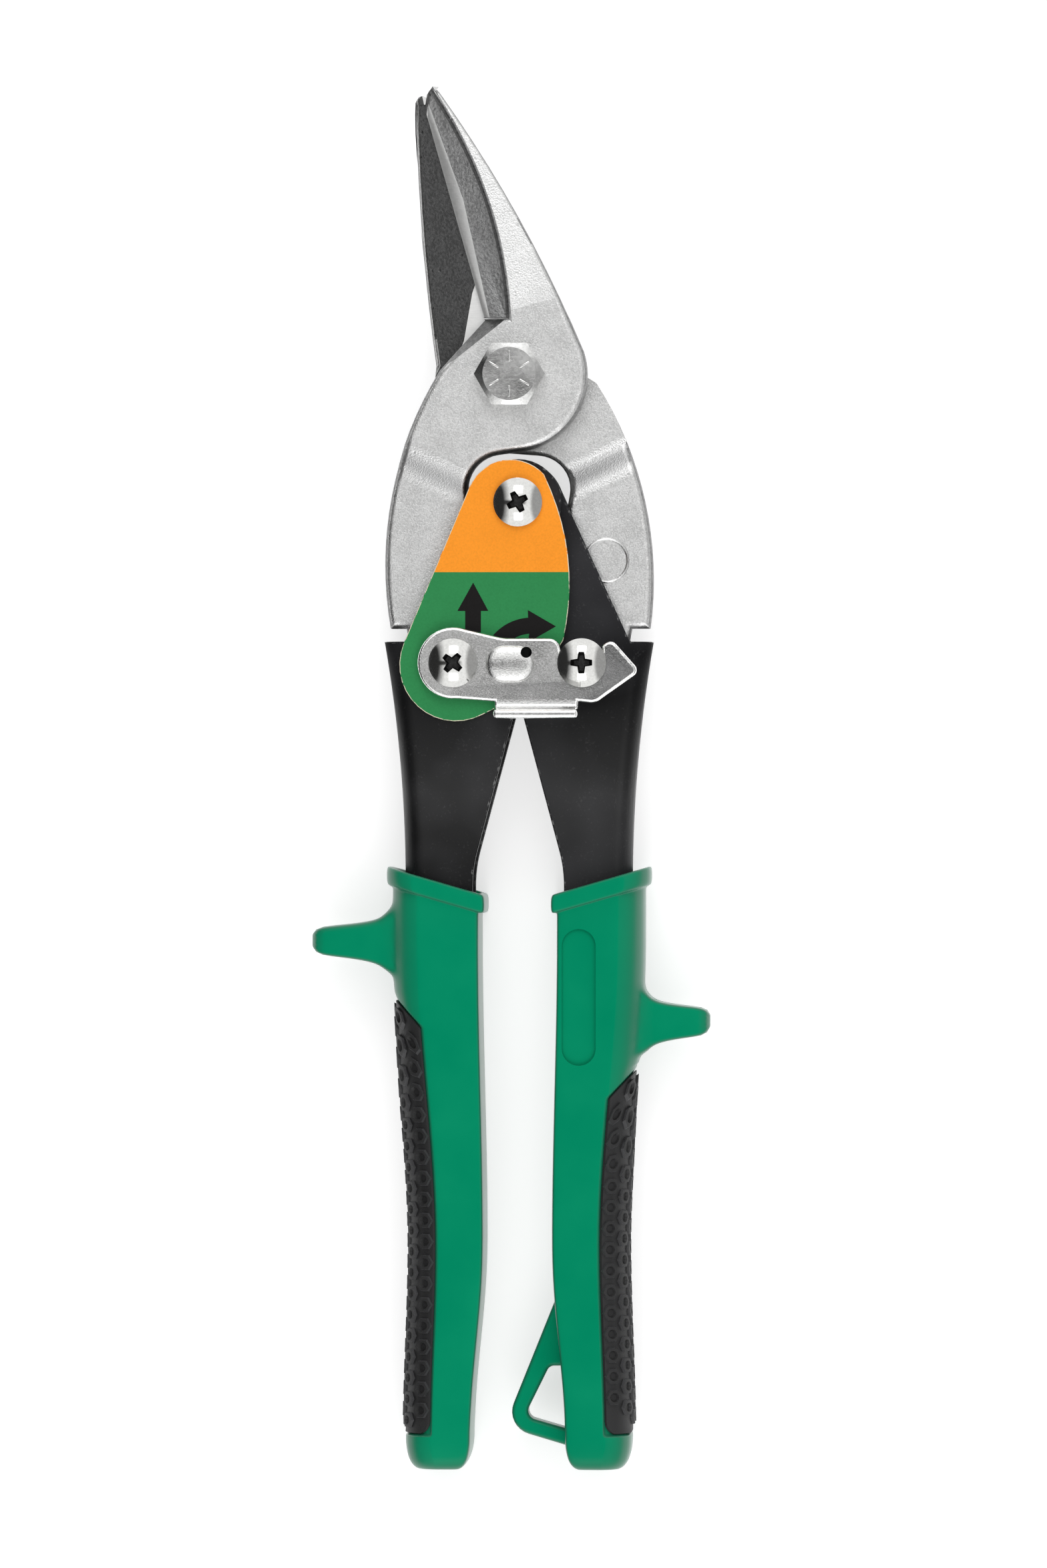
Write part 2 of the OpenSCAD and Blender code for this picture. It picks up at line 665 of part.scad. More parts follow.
module hang_loop() {
    into_grip = grip_end_inner + grip_inner_r;
    corner = [loop_far, -handle_reach + loop_foot];
    root = [into_grip, corner.y - loop_slope * (into_grip - loop_far)];
    top = corner.y + loop_hole_l;
    shoulder = [loop_far + loop_hole_l * loop_lean, top];
    slab(-loop_t / 2, loop_t / 2) difference() {
        offset(r = loop_round + loop_strap) polygon([root, corner, [into_grip, -handle_reach + loop_rise]]);
        offset(r = loop_round) polygon([root, corner, shoulder, [into_grip, top]]);
        translate([into_grip, -handle_reach]) square([far, far]);
    }
}

module right_grip() {
    color(green) in_tool() for_right() difference() {
        union() {
            grip_skin(thumb_reach - axis_shift, right_stop_drop, right_pad_drop);
            hang_loop();
        }
        grip_pocket(right_cheek_out);
        obround_sink();
    }
}

// Shallow recess on the front of the right grip
recess_margin = 1.4;

module obround_sink() {
    r = recess_width / 2;
    start = [grip_top_inner + recess_margin + r, -recess_drop - r];
    slab(grip_depth / 2 - recess_sink, grip_depth)
        translate(start) rotate(-90) obround(recess_l, recess_width);
}

// Screws, nuts, bushes and washers
handle_recess_turn = 12;
left_recess_turn = 50;
right_recess_turn = 0;
washer_margin = 1.2;
spacer_wall = 1.4;

module pan_screw(seat, end, recess_turn) {
    dome_r = (head_d * head_d / 4 + head_h * head_h) / (2 * head_h);
    difference() {
        union() {
            translate([0, 0, seat]) intersection() {
                translate([0, 0, head_h - dome_r]) sphere(dome_r);
                cylinder(r = head_d / 2, h = head_h);
            }
            slab(end, seat + side_gap) circle(screw_r);
        }
        for (w = [0, 90]) rotate([0, 0, recess_turn + w])
            translate([-recess_arm, -recess_w / 2, seat + head_h - recess_depth])
                cube([2 * recess_arm, recess_w, head_h]);
    }
}

module screw_nut(seat) {
    slab(seat - nut_h, seat) difference() {
        hexagon(nut_flats);
        circle(screw_hole_r);
    }
}

module handle_pivot_screw() {
    color(zinc) in_tool() at(handle_pivot) pan_screw(label_top, -left_cheek_out - nut_h, handle_recess_turn);
}

module handle_pivot_nut() {
    color(zinc) in_tool() at(handle_pivot) screw_nut(-left_cheek_out);
}

module left_pivot_screw() {
    color(zinc) in_tool() at(left_pivot) pan_screw(head_seat, -left_cheek_out - nut_h, left_recess_turn);
}

module left_pivot_nut() {
    color(zinc) in_tool() at(left_pivot) screw_nut(-left_cheek_out);
}

module right_pivot_screw() {
    color(zinc) in_tool() at(right_pivot) pan_screw(head_seat, -right_cheek_out - nut_h, right_recess_turn);
}

module right_pivot_nut() {
    color(zinc) in_tool() at(right_pivot) screw_nut(-right_cheek_out);
}

module left_pivot_bush() {
    color(steel) in_tool() at(left_pivot) ring(bush_r, screw_hole_r, -left_cheek_in, left_cheek_in);
}

module right_pivot_bush() {
    color(steel) in_tool() at(right_pivot) ring(bush_r, screw_hole_r, -right_cheek_in, right_cheek_in);
}

module left_tang_washers() {
    color(zinc) in_tool() at(left_pivot) for (z = [0, 1]) mirror([0, 0, z])
        ring(tang_washer_d / 2, bush_r + running_gap, tang_t / 2 + running_gap, left_cheek_in);
}

module latch_spring_washer() {
    color(zinc) in_tool() at(left_pivot) ring(latch_r - washer_margin, screw_hole_r, label_top, latch_low);
}

module latch_spacer() {
    color(zinc) in_tool() at(right_pivot)
        ring(screw_r + spacer_wall, screw_hole_r, right_cheek_out, latch_low - side_gap);
}

// Label plate: round ends near the two pivots, joined by a straight side and two bowed ones
label_top_shift = [-1.3, -0.4];
label_foot_shift = [0.4, -0.3];
label_top_turn = 42;
label_foot_turn = 298;
label_corner_rise = 4.1;
label_foot_bow = 1.6;
label_side_bow = 2.6;

function label_outline() =
    let (top = handle_pivot + label_top_shift,
        foot = left_pivot + label_foot_shift,
        lean = acos((label_top_r - label_foot_r) / norm(foot - top)),
        side = heading(top, foot) - lean + 360,
        corner = [axis_shift + label_corner_half, -tang_pivot_drop + label_corner_rise],
        upper = arc(top, label_top_r, label_top_turn, side, 14),
        lower = arc(foot, label_foot_r, side, label_foot_turn, 14))
    concat(upper, lower, bow(lower[14], corner, -label_foot_bow), bow(corner, upper[0], -label_side_bow));

module label_plate() {
    color("#e58f2e") in_tool() slab(left_cheek_out, label_top) difference() {
        polygon(label_outline());
        for (p = [handle_pivot, left_pivot]) translate(p) circle(screw_hole_r);
    }
}

// Latch, drawn from its pivot with the hook to the right
tab_start = 7.4;
tab_root = 6.5;
tab_drop = 10;
tab_bend_out = 1;
tab_bend_in = 0.6;
bump_start = [5.9, -0.2];
latch_hole = [13.2, 1.9];

// Notch round the right screw: room on its left, right and lower sides
notch_lead = 0.8;
hook_gap = 1.6;
notch_room = 0.6;

// Outline from the tab to the heel, seen from the right screw, then round the hook's point, seen from
// the end of the latch's reach, and up the neck, seen from the left side of the notch
heel = [[-0.5, -7.3], [2, -7.4]];
hook = [[-0.5, -2], [0, -1.2], [-0.4, 0.1], [-3.9, 3.4], [-5.1, 3.8]];
hook_inside_y = 3.2;
neck = [[-0.9, 1], [-1.6, 2.8], [-3, 4.3]];
back = [[-5, 4.5], [3.2, 5.7]];

function along_x(points, x) = [for (p = points) [p.x + x, p.y]];

module latch_plate() {
    pin = tang_pivot_span;
    left = pin - screw_r - notch_lead;
    right = pin + screw_r + hook_gap;
    low = -screw_r - notch_room;
    difference() {
        polygon(concat(arc([0, 0], latch_r, 75, 275, 16), [[tab_start, -6.8]], along_x(heel, pin),
            along_x(hook, latch_reach), [[right, hook_inside_y], [right, low], [left, low]],
            along_x(neck, left), bow(back[0] + [left, 0], back[1], 0.5, 6)));
        circle(screw_hole_r);
        translate(latch_hole) circle(latch_hole_d / 2);
    }
}

module latch_tab() {
    outer = -tab_drop;
    inner = outer + latch_t;
    high = latch_top + tab_h;
    translate([tab_start, 0, 0]) rotate([90, 0, 90]) linear_extrude(tab_w)
        polygon([[-tab_root, latch_low], [outer + tab_bend_out, latch_low], [outer, latch_low + tab_bend_out],
            [outer, high], [inner, high], [inner, latch_top + tab_bend_in], [inner + tab_bend_in, latch_top],
            [-tab_root, latch_top]]);
}

module latch() {
    color(zinc) in_tool() at(left_pivot) {
        slab(latch_low, latch_top) latch_plate();
        latch_tab();
        slab(latch_top, latch_top + bump_h) difference() {
            translate(bump_start + [bump_w / 2, 0]) obround(bump_l, bump_w);
            translate(latch_hole) circle(latch_hole_d / 2);
        }
    }
}

// Return spring: a round-wire coil about the handle pivot with a leg along each tang
wire_sides = 6;
turn_rings = 24;
leg_lean = 0.6;

function spring_path() =
    let (r = coil_d / 2,
        steps = (coil_turns + 0.5) * turn_rings,
        top = right_cheek_in - side_gap - wire_d / 2)
    concat([[-r - leg_lean, -leg_length, -top]],
        [for (i = [0 : steps]) let (w = 180 - 360 * i / turn_rings)
            [r * cos(w), r * sin(w), mix(-top, top, i / steps)]],
        [[r + leg_lean, -leg_length, top]]);

function unit(v) = v / norm(v);
function wire_ring(path, j) =
    let (last = len(path) - 1,
        along = unit(path[min(j + 1, last)] - path[max(j - 1, 0)]),
        side = unit(cross(along, [0, 0, 1])),
        up = cross(side, along))
    [for (k = [0 : wire_sides - 1]) let (w = 360 * k / wire_sides)
        path[j] + wire_d / 2 * (cos(w) * side + sin(w) * up)];

// Least gap between turns, on points at least half a turn apart
function least_gap(path, apart) =
    let (last = len(path) - 1)
    min([for (i = [0 : last - apart], j = [i + apart : last]) norm(path[i] - path[j])]) - wire_d;

module return_spring() {
    path = spring_path();
    echo(str("Least gap between the spring's turns: ", least_gap(path, turn_rings / 2), " mm"));
    color(zinc) in_tool() at(handle_pivot) skin([for (j = [0 : len(path) - 1]) wire_ring(path, j)]);
}

module spring_bush() {
    half = right_cheek_in - running_gap;
    color(steel) in_tool() at(handle_pivot)
        ring((coil_d - wire_d) / 2 - side_gap, screw_hole_r, -half, half);
}

upper_jaw();
lower_jaw();
jaw_pivot_bolt();
jaw_pivot_washer();
jaw_pivot_nut();
left_handle();
right_handle();
left_grip();
right_grip();
left_grip_pad();
right_grip_pad();
label_plate();
latch();
latch_spring_washer();
latch_spacer();
handle_pivot_screw();
handle_pivot_nut();
left_pivot_screw();
left_pivot_nut();
right_pivot_screw();
right_pivot_nut();
left_pivot_bush();
right_pivot_bush();
left_tang_washers();
return_spring();
spring_bush();
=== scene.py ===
import json
import math

import bmesh
import bpy
from mathutils import Matrix, Vector


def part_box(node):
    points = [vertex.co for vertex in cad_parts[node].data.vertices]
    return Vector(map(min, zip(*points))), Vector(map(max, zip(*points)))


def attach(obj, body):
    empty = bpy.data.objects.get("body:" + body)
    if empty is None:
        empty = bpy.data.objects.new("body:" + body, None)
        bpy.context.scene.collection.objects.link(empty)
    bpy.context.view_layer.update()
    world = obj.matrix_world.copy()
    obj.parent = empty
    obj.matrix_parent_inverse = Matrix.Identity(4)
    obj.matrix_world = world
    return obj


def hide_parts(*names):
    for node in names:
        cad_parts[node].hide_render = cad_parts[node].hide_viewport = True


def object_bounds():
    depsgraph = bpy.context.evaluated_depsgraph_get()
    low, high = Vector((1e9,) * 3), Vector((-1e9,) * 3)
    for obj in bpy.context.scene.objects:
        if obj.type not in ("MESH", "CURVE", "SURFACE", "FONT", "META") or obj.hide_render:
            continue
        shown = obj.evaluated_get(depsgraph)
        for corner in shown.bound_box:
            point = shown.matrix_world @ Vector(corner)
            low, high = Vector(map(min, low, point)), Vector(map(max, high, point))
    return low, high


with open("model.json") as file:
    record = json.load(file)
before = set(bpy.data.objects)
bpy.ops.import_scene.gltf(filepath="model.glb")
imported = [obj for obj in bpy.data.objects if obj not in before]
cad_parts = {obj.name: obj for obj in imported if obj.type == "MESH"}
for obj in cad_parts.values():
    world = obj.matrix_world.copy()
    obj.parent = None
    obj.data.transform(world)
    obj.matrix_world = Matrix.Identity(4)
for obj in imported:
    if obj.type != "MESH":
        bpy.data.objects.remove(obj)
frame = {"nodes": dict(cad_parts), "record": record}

bl_info = {
    "name": "Aviation Snips",
    "version": (1, 0, 0),
    "blender": (4, 5, 0),
    "location": "View3D > Sidebar > Snips",
    "description": "Dresses a pair of compound-action aviation snips with forged, stamped and moulded parts",
    "category": "Object",
}

MM = 0.001
CAD_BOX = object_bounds()
RECORD = frame["record"]
NODE_BODY = {node: body for body, nodes in RECORD["behaviour"]["bodies"].items() for node in nodes}


def centre(node):
    low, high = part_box(node)
    return (low + high) / 2


JAW_PIVOT = centre("jaw_pivot_bolt")
HANDLE_PIVOT = centre("handle_pivot_screw")
LEFT_PIVOT = centre("left_pivot_screw")
RIGHT_PIVOT = centre("right_pivot_screw")
MID_Z = centre("left_grip").z
HALF_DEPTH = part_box("left_grip")[1].z - MID_Z
GRIP_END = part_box("left_grip")[0].y
LABEL_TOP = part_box("label_plate")[1].z
LATCH_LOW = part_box("latch_spring_washer")[1].z
SIDES = ("left", "right")


class SnipsSizes(bpy.types.PropertyGroup):
    """Sizes that change the look of the snips without changing their mechanism"""

    def length(name, description, millimetres):
        return bpy.props.FloatProperty(
            name=name, description=description, default=millimetres * MM, unit="LENGTH", precision=5)

    forging_edge: length("Forging edge", "Rounding of the jaws round the pivot and the tangs", 1.3)
    blade_edge: length("Blade edge", "Rounding of the blades' backs", 0.6)
    shear_edge: length("Shear edge", "Rounding of the rims beside the faces that slide on each other", 0.8)
    step_blend: length("Step blend", "Length over which a jaw eases into its tang", 7.6)
    rib_edge: length("Rib edge", "Rounding of the rib beside the relieved face of a blade", 0.95)
    fine_edge: length("Fine edge", "Rounding of small sharp corners", 0.2)
    ground_strip: length("Ground strip", "Width of the ground strip along the upper cutting edge", 2.2)
    sheet_edge: length("Sheet edge", "Rounding of the stamped handles' edges", 0.35)
    latch_edge: length("Latch edge", "Rounding of the stamped latch's edges", 0.6)
    label_edge: length("Label edge", "Rounding of the label plate's edges", 0.14)
    grip_round: length("Grip round", "Radius of the grips' outer corners", 6.2)
    grip_inner_round: length("Grip inner round", "Radius of the grips' inner corners", 0.9)
    collar_height: length("Collar height", "Height of the band at the top of each grip", 3.4)
    collar_lip: length("Collar lip", "How far the band stands proud of the grip", 1.1)
    collar_step: length("Collar step", "How far the band stands above the front of the grip", 0.6)
    collar_wall: length("Collar wall", "Wall of the band round the open pocket", 1.5)
    pad_wrap: length("Pad wrap", "How far the rubber pads reach over the front of the grips", 4.8)
    pad_sink: length("Pad sink", "Depth of the seat under the rubber pads", 0.9)
    nub_flats: length("Nub flats", "Width across the flats of the hexagons on the pads", 2.8)
    nub_pitch: length("Nub pitch", "Distance between the hexagons along a pad", 3.8)
    nub_height: length("Nub height", "Height of the hexagons on the pads", 0.55)
    bolt_chamfer: length("Bolt chamfer", "Radius of the round top of the hexagon bolt", 4.8)
    recess_sink: length("Recess sink", "Depth of the long recess on the right grip", 0.7)


class SnipsColours(bpy.types.PropertyGroup):
    """Colours of the finishes, and of the greys and paler tones that paint shade, highlights and sheen"""

    def colour(name, description, red, green, blue):
        return bpy.props.FloatVectorProperty(
            name=name, description=description, default=(red, green, blue, 1.0),
            size=4, min=0.0, max=1.0, subtype="COLOR")

    jaw_silver: colour("Jaw silver", "Satin plate on the forged jaws", 0.76, 0.76, 0.755)
    # Taper silver is a painted highlight: a brighter plate on the upper blade's taper, whose faces are chosen
    # by how they lean
    taper_highlight_silver: colour("Taper silver", "Brighter taper of the upper blade", 0.93, 0.93, 0.925)
    # The step grey is painted shade, blended by the slope mask onto the jaws' step and the latch's hook
    painted_shade_grey: colour("Step grey", "Dull step of the jaws and dull hook of the latch", 0.4, 0.4, 0.4)
    # The rim grey is painted shade: the steep faces round the jaws are darkened because of how they lean
    rim_grey: colour("Rim grey", "Forged walls round the jaws", 0.36, 0.36, 0.36)
    wall_grey: colour("Wall grey", "Shaded wall beside the relieved face", 0.16, 0.16, 0.16)
    relief_grey: colour("Relief grey", "Rough face beside the upper cutting edge", 0.38, 0.38, 0.38)
    # The hollow grey is painted shade in the lower blade's hollow, which runs on under the upper jaw
    hollow_grey: colour("Hollow grey", "Rough hollow on the lower blade", 0.12, 0.12, 0.12)
    zinc_silver: colour("Zinc silver", "Bright plate on the screws", 0.74, 0.74, 0.72)
    latch_grey: colour("Latch grey", "Plate on the latch and the nuts", 0.8, 0.8, 0.79)
    # The recess grey is partly dirt and partly painted shade in the screws' drive recesses
    recess_grey: colour("Recess grey", "Dirt in the drive recesses of the screws", 0.05, 0.05, 0.05)
    bolt_silver: colour("Bolt silver", "Plate on the jaw bolt", 0.76, 0.76, 0.75)
    bare_steel: colour("Bare steel", "Ground and worn steel", 0.92, 0.92, 0.91)
    handle_black: colour("Handle black", "Blackened stamped handles", 0.005, 0.005, 0.0054)
    grip_green: colour("Grip green", "Moulded grips", 0.0, 0.255, 0.125)
    # The side green is painted sheen: a paler grey-green laid on the grips' sides
    painted_sheen_green: colour("Side green", "Duller sides of the grips", 0.012, 0.175, 0.095)
    rubber_black: colour("Rubber black", "Rubber pads", 0.009, 0.009, 0.0095)
    label_orange: colour("Label orange", "Upper part of the label", 1.0, 0.33, 0.026)
    label_green: colour("Label green", "Lower part of the label", 0.031, 0.25, 0.08)
    label_cream: colour("Label cream", "Worn edge of the label", 0.78, 0.72, 0.55)
    label_ink: colour("Label ink", "Printed arrows", 0.011, 0.010, 0.010)
    floor_white: colour("Floor white", "Studio floor", 0.6, 0.6, 0.6)


def sizes():
    return bpy.context.scene.snips_sizes


# Mesh helpers

FLAT_ANGLE = math.radians(0.5)
MERGE_GAP = 0.002 * MM
BORE_SLACK = 0.3 * MM
BORE_STEPS = 48
BEVEL_WEIGHT = "bevel_weight_edge"
WALL_LEAN = 0.35
VERT, FACE = bmesh.types.BMVert, bmesh.types.BMFace


def only(kind, geom):
    return [g for g in geom if isinstance(g, kind)]


def outward(bm):
    """Turns all faces outwards."""
    bmesh.ops.recalc_face_normals(bm, faces=bm.faces)
    return bm


def make_flat(bm):
    """Makes faces whole that were cut up into flat pieces."""
    bmesh.ops.dissolve_limit(bm, angle_limit=FLAT_ANGLE, verts=bm.verts, edges=bm.edges)
    bm.normal_update()


def node_copy(node):
    """A merged copy of a CAD node, with its flat faces whole again."""
    bm = bmesh.new()
    bm.from_mesh(frame["nodes"][node].data)
    bmesh.ops.remove_doubles(bm, verts=bm.verts, dist=MERGE_GAP)
    make_flat(bm)
    bm.edges.layers.float.new(BEVEL_WEIGHT)
    return bm


def sharp_edges(bm, least=30):
    """Convex edges sharper than an angle."""
    least = math.radians(least)
    return [e for e in bm.edges if e.is_manifold and e.is_convex and e.calc_face_angle() > least]


def face_mark(bm, name):
    return bm.faces.layers.float.get(name) or bm.faces.layers.float.new(name)


def round_edges(bm, edges, width, segments=3):
    """Bevels edges and marks the new faces as worn."""
    worn = face_mark(bm, "worn")
    made = bmesh.ops.bevel(bm, geom=edges, offset=width, offset_type="OFFSET", segments=segments,
                           profile=0.5, affect="EDGES", material=-1, clamp_overlap=False)
    for face in made["faces"]:
        face[worn] = 1.0
    bm.normal_update()


def everything(bm):
    return bm.verts[:] + bm.edges[:] + bm.faces[:]


def cut_across(bm, spot, normal, geom=None):
    """Splits a mesh, or a part of it, along a plane."""
    bmesh.ops.bisect_plane(bm, geom=geom or everything(bm), plane_co=spot, plane_no=normal, dist=MERGE_GAP)


def draw_out(bm, faces):
    """Extrudes faces and gives the new vertices and faces."""
    made = bmesh.ops.extrude_face_region(bm, geom=faces)["geom"]
    return only(VERT, made), only(FACE, made)


def mesh_from(bm, name):
    """Turns a bmesh into a mesh and frees it."""
    mesh = bpy.data.meshes.new(name)
    bm.to_mesh(mesh)
    bm.free()
    return mesh


def in_scene(name, data):
    obj = bpy.data.objects.new(name, data)
    bpy.context.scene.collection.objects.link(obj)
    return obj


def stand_in(bm, name):
    """A passing object for a modifier, with two empty material slots."""
    mesh = mesh_from(bm, name)
    for _ in range(2):
        mesh.materials.append(None)
    return in_scene(name, mesh)


def discard(obj):
    mesh = obj.data
    bpy.data.objects.remove(obj)
    bpy.data.meshes.remove(mesh)


def through(bm, kind, **settings):
    """Passes a mesh through one modifier."""
    obj = stand_in(bm, "part")
    modifier = obj.modifiers.new("part", kind)
    for name, value in settings.items():
        setattr(modifier, name, value)
    bpy.context.view_layer.update()
    result = bmesh.new()
    result.from_object(obj, bpy.context.evaluated_depsgraph_get())
    discard(obj)
    return result


def rounded(bm, groups, segments=3):
    """Bevels groups of (edges, width) in one pass and marks the new faces as worn."""
    widest = max(width for edges, width in groups)
    weight = bm.edges.layers.float[BEVEL_WEIGHT]
    for edges, width in groups:
        for edge in edges:
            edge[weight] = width / widest
    result = through(bm, "BEVEL", limit_method="WEIGHT", width=widest, segments=segments, profile=0.5,
                     use_clamp_overlap=False, material=1)
    worn = face_mark(result, "worn")
    for face in result.faces:
        face[worn] = float(face.material_index)
        face.material_index = 0
    result.normal_update()
    return result


def prism(points, low, high):
    """An outline stood up between two heights."""
    bm = bmesh.new()
    face = bm.faces.new([bm.verts.new((p[0], p[1], low)) for p in points])
    top = draw_out(bm, [face])[0]
    bmesh.ops.translate(bm, verts=top, vec=(0, 0, high - low))
    return outward(bm)


def closed_row(bm, points):
    """New vertices and the edges that join them in a ring."""
    row = [bm.verts.new(p) for p in points]
    return row, [bm.edges.new((row[k - 1], row[k])) for k in range(len(row))]


def turned(profile, place, steps=64):
    """A closed profile of (radius, height) spun about the Z axis through a place."""
    bm = bmesh.new()
    row, edges = closed_row(bm, [(r, 0, z) for r, z in profile])
    bmesh.ops.spin(bm, geom=row + edges, cent=(0, 0, 0), axis=(0, 0, 1), angle=math.tau,
                   steps=steps, use_merge=True)
    bmesh.ops.remove_doubles(bm, verts=bm.verts, dist=MERGE_GAP)
    bmesh.ops.dissolve_degenerate(bm, edges=bm.edges, dist=MERGE_GAP)
    outward(bm)
    bmesh.ops.translate(bm, verts=bm.verts, vec=(place[0], place[1], 0))
    return bm


def loft(rings):
    """A closed skin over rings of points, by extruding one ring to the next."""
    bm = bmesh.new()
    row, edges = closed_row(bm, rings[0])
    bm.faces.new(row)
    for ring in rings[1:]:
        fresh = set(only(VERT, bmesh.ops.extrude_edge_only(bm, edges=edges)["geom"]))
        row = [next(e.other_vert(v) for e in v.link_edges if e.other_vert(v) in fresh) for v in row]
        for vert, point in zip(row, ring):
            vert.co = point
        edges = [bm.edges.get((row[k - 1], row[k])) for k in range(len(row))]
    bm.faces.new(row)
    return outward(bm)


def add(bm, other):
    """Puts another mesh's geometry into this one."""
    mesh = mesh_from(other, "joined")
    bm.from_mesh(mesh)
    bpy.data.meshes.remove(mesh)


def combined(bm, other, operation="DIFFERENCE"):
    """Difference or union of two closed meshes."""
    cutter = stand_in(other, "cutter")
    result = through(bm, "BOOLEAN", operation=operation, solver="EXACT", object=cutter)
    discard(cutter)
    bmesh.ops.remove_doubles(result, verts=result.verts, dist=MERGE_GAP / 4)
    return result


def plugged(bm, bores):
    """Fills round bores of (place, radius), so that the faces round them are whole and bevel cleanly."""
    walls = []
    for face in bm.faces:
        spot = face.calc_center_median()
        near = any(math.hypot(spot.x - p.x, spot.y - p.y) < r + BORE_SLACK for p, r in bores)
        if near and abs(face.normal.z) < WALL_LEAN:
            walls.append(face)
    bmesh.ops.delete(bm, geom=walls, context="FACES")
    bmesh.ops.holes_fill(bm, edges=[e for e in bm.edges if e.is_boundary], sides=0)
    make_flat(bm)
    return outward(bm)


def bored(bm, bores):
    """Cuts round bores of (place, radius) right through."""
    low, high = CAD_BOX[0].z - MM, CAD_BOX[1].z + MM
    for place, radius in bores:
        drill = turned([(0.0, low), (radius, low), (radius, high), (0.0, high)], place, BORE_STEPS)
        bm = combined(bm, drill)
    return bm


def filleted(corners, steps=5):
    """Points of an outline whose corners, given as (x, y, radius), are rounded."""
    points = []
    for k, (x, y, radius) in enumerate(corners):
        if not radius:
            points.append((x, y))
            continue
        here = Vector((x, y))
        before = (Vector(corners[k - 1][:2]) - here).normalized()
        after = (Vector(corners[(k + 1) % len(corners)][:2]) - here).normalized()
        half = before.angle(after) / 2
        middle = here + (before + after).normalized() * (radius / math.sin(half))
        start = here + before * (radius / math.tan(half)) - middle
        end = here + after * (radius / math.tan(half)) - middle
        first = math.atan2(start.y, start.x)
        sweep = (math.atan2(end.y, end.x) - first + math.pi) % math.tau - math.pi
        points += arc(middle, radius, math.degrees(first), math.degrees(first + sweep), steps)
    return points


def beside(pivot, x, y):
    """A place in millimetres from a pivot."""
    return pivot + Vector((x * MM, y * MM, 0.0))


def placed(points, pivot):
    """Points in millimetres from a pivot, as points of the tool."""
    return [(pivot.x + p[0] * MM, pivot.y + p[1] * MM) for p in points]


def arc(middle, radius, start, end, steps):
    """Points of an arc, with its angles in degrees."""
    turns = [math.radians(start + (end - start) * k / steps) for k in range(steps + 1)]
    return [(middle[0] + radius * math.cos(w), middle[1] + radius * math.sin(w)) for w in turns]


def full_turn(steps):
    return [math.tau * k / steps for k in range(steps)]


def ease(t):
    t = min(max(t, 0.0), 1.0)
    return t * t * (3 - 2 * t)


def mix(a, b, t):
    return a + (b - a) * t


def piece(name, bm, node, finishes, smooth=38, replace=True):
    """Makes the finished object, on the body of a CAD node, which it may stand for."""
    mesh = mesh_from(bm, name)
    for finish in finishes:
        mesh.materials.append(finish)
    mesh.polygons.foreach_set("use_smooth", [True] * len(mesh.polygons))
    mesh.set_sharp_from_angle(angle=math.radians(smooth))
    obj = in_scene(name, mesh)
    obj.modifiers.new("Flat faces", "WEIGHTED_NORMAL").keep_sharp = True
    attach(obj, NODE_BODY[node])
    if replace:
        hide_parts(node)


# Materials

BROAD_SCALE, PIT_SCALE = 260.0, 620.0
FLAT_GLOSS, PRINT_GLOSS = 0.02, 0.1
# The sheet coat is the strength of the handles' painted sheen
GRIP_SHEEN, SHEET_SHEEN, PAINTED_SHEEN_COAT = 0.33, 0.38, 0.9
# The sheen height and reach place a band of painted sheen halfway up the handles
PAINTED_SHEEN_HEIGHT, PAINTED_SHEEN_REACH = -3 * MM, 26 * MM

# Roughness from the smoothest to the roughest patch, grain as its height in millimetres and its scale,
# and dull as the share of the colour that is left in the darkest grain
PLAIN = dict(pits=0.0, wear=0.0, dull=0.68)
ROUGH = dict(rough=(0.42, 0.55), grain=(0.13, 2000.0), pits=0.9, wear=0.0, dull=0.68)
METALS = {
    # A slope entry names a grey of painted shade, blended in where the slope mask is set
    "satin_forging": dict(colour="jaw_silver", rough=(0.3, 0.38), grain=(0.07, 3600.0), pits=0.5, wear=0.4,
                          dull=0.76, slope="painted_shade_grey"),
    # The taper's brighter silver is a painted highlight
    "bright_taper": dict(colour="taper_highlight_silver", rough=(0.28, 0.36), grain=(0.07, 3600.0), pits=0.6, wear=0.4,
                         dull=0.8),
    "satin_zinc": dict(colour="latch_grey", rough=(0.17, 0.27), grain=(0.04, 2800.0), pits=0.4, wear=0.9,
                       dull=0.84, slope="painted_shade_grey"),
    "mirror_zinc": dict(colour="zinc_silver", rough=(0.08, 0.13), grain=(0.003, 2200.0), pits=0.0, wear=0.0,
                        dull=0.9),
    "dull_bolt": dict(colour="bolt_silver", rough=(0.2, 0.32), grain=(0.025, 1500.0), pits=0.5, wear=0.5,
                      dull=0.8),
    "turned_steel": dict(colour="bare_steel", rough=(0.25, 0.35), grain=(0.01, 2500.0), **PLAIN),
    "drawn_wire": dict(colour="bolt_silver", rough=(0.3, 0.4), grain=(0.012, 3200.0), **PLAIN),
}
# The hollow, wall and rim greys paint shade; the recess grey paints dirt and shade
METALS.update({part + "_steel": dict(colour=part + "_grey", **ROUGH)
               for part in ("relief", "hollow", "wall", "rim", "recess")})


def once(make):
    """Lets a material or a node group be made only where the file does not hold it yet."""
    names = {}

    def give(*words):
        name = names.get(words, "")
        ready = bpy.data.materials.get(name) or bpy.data.node_groups.get(name)
        if not ready:
            ready = make(*words)
            names[words] = ready.name
        return ready

    return give


def paint(name):
    return tuple(getattr(bpy.context.scene.snips_colours, name))


def shade(colour, share):
    """A colour made darker or lighter."""
    return tuple(c * share for c in colour[:3]) + (1.0,)


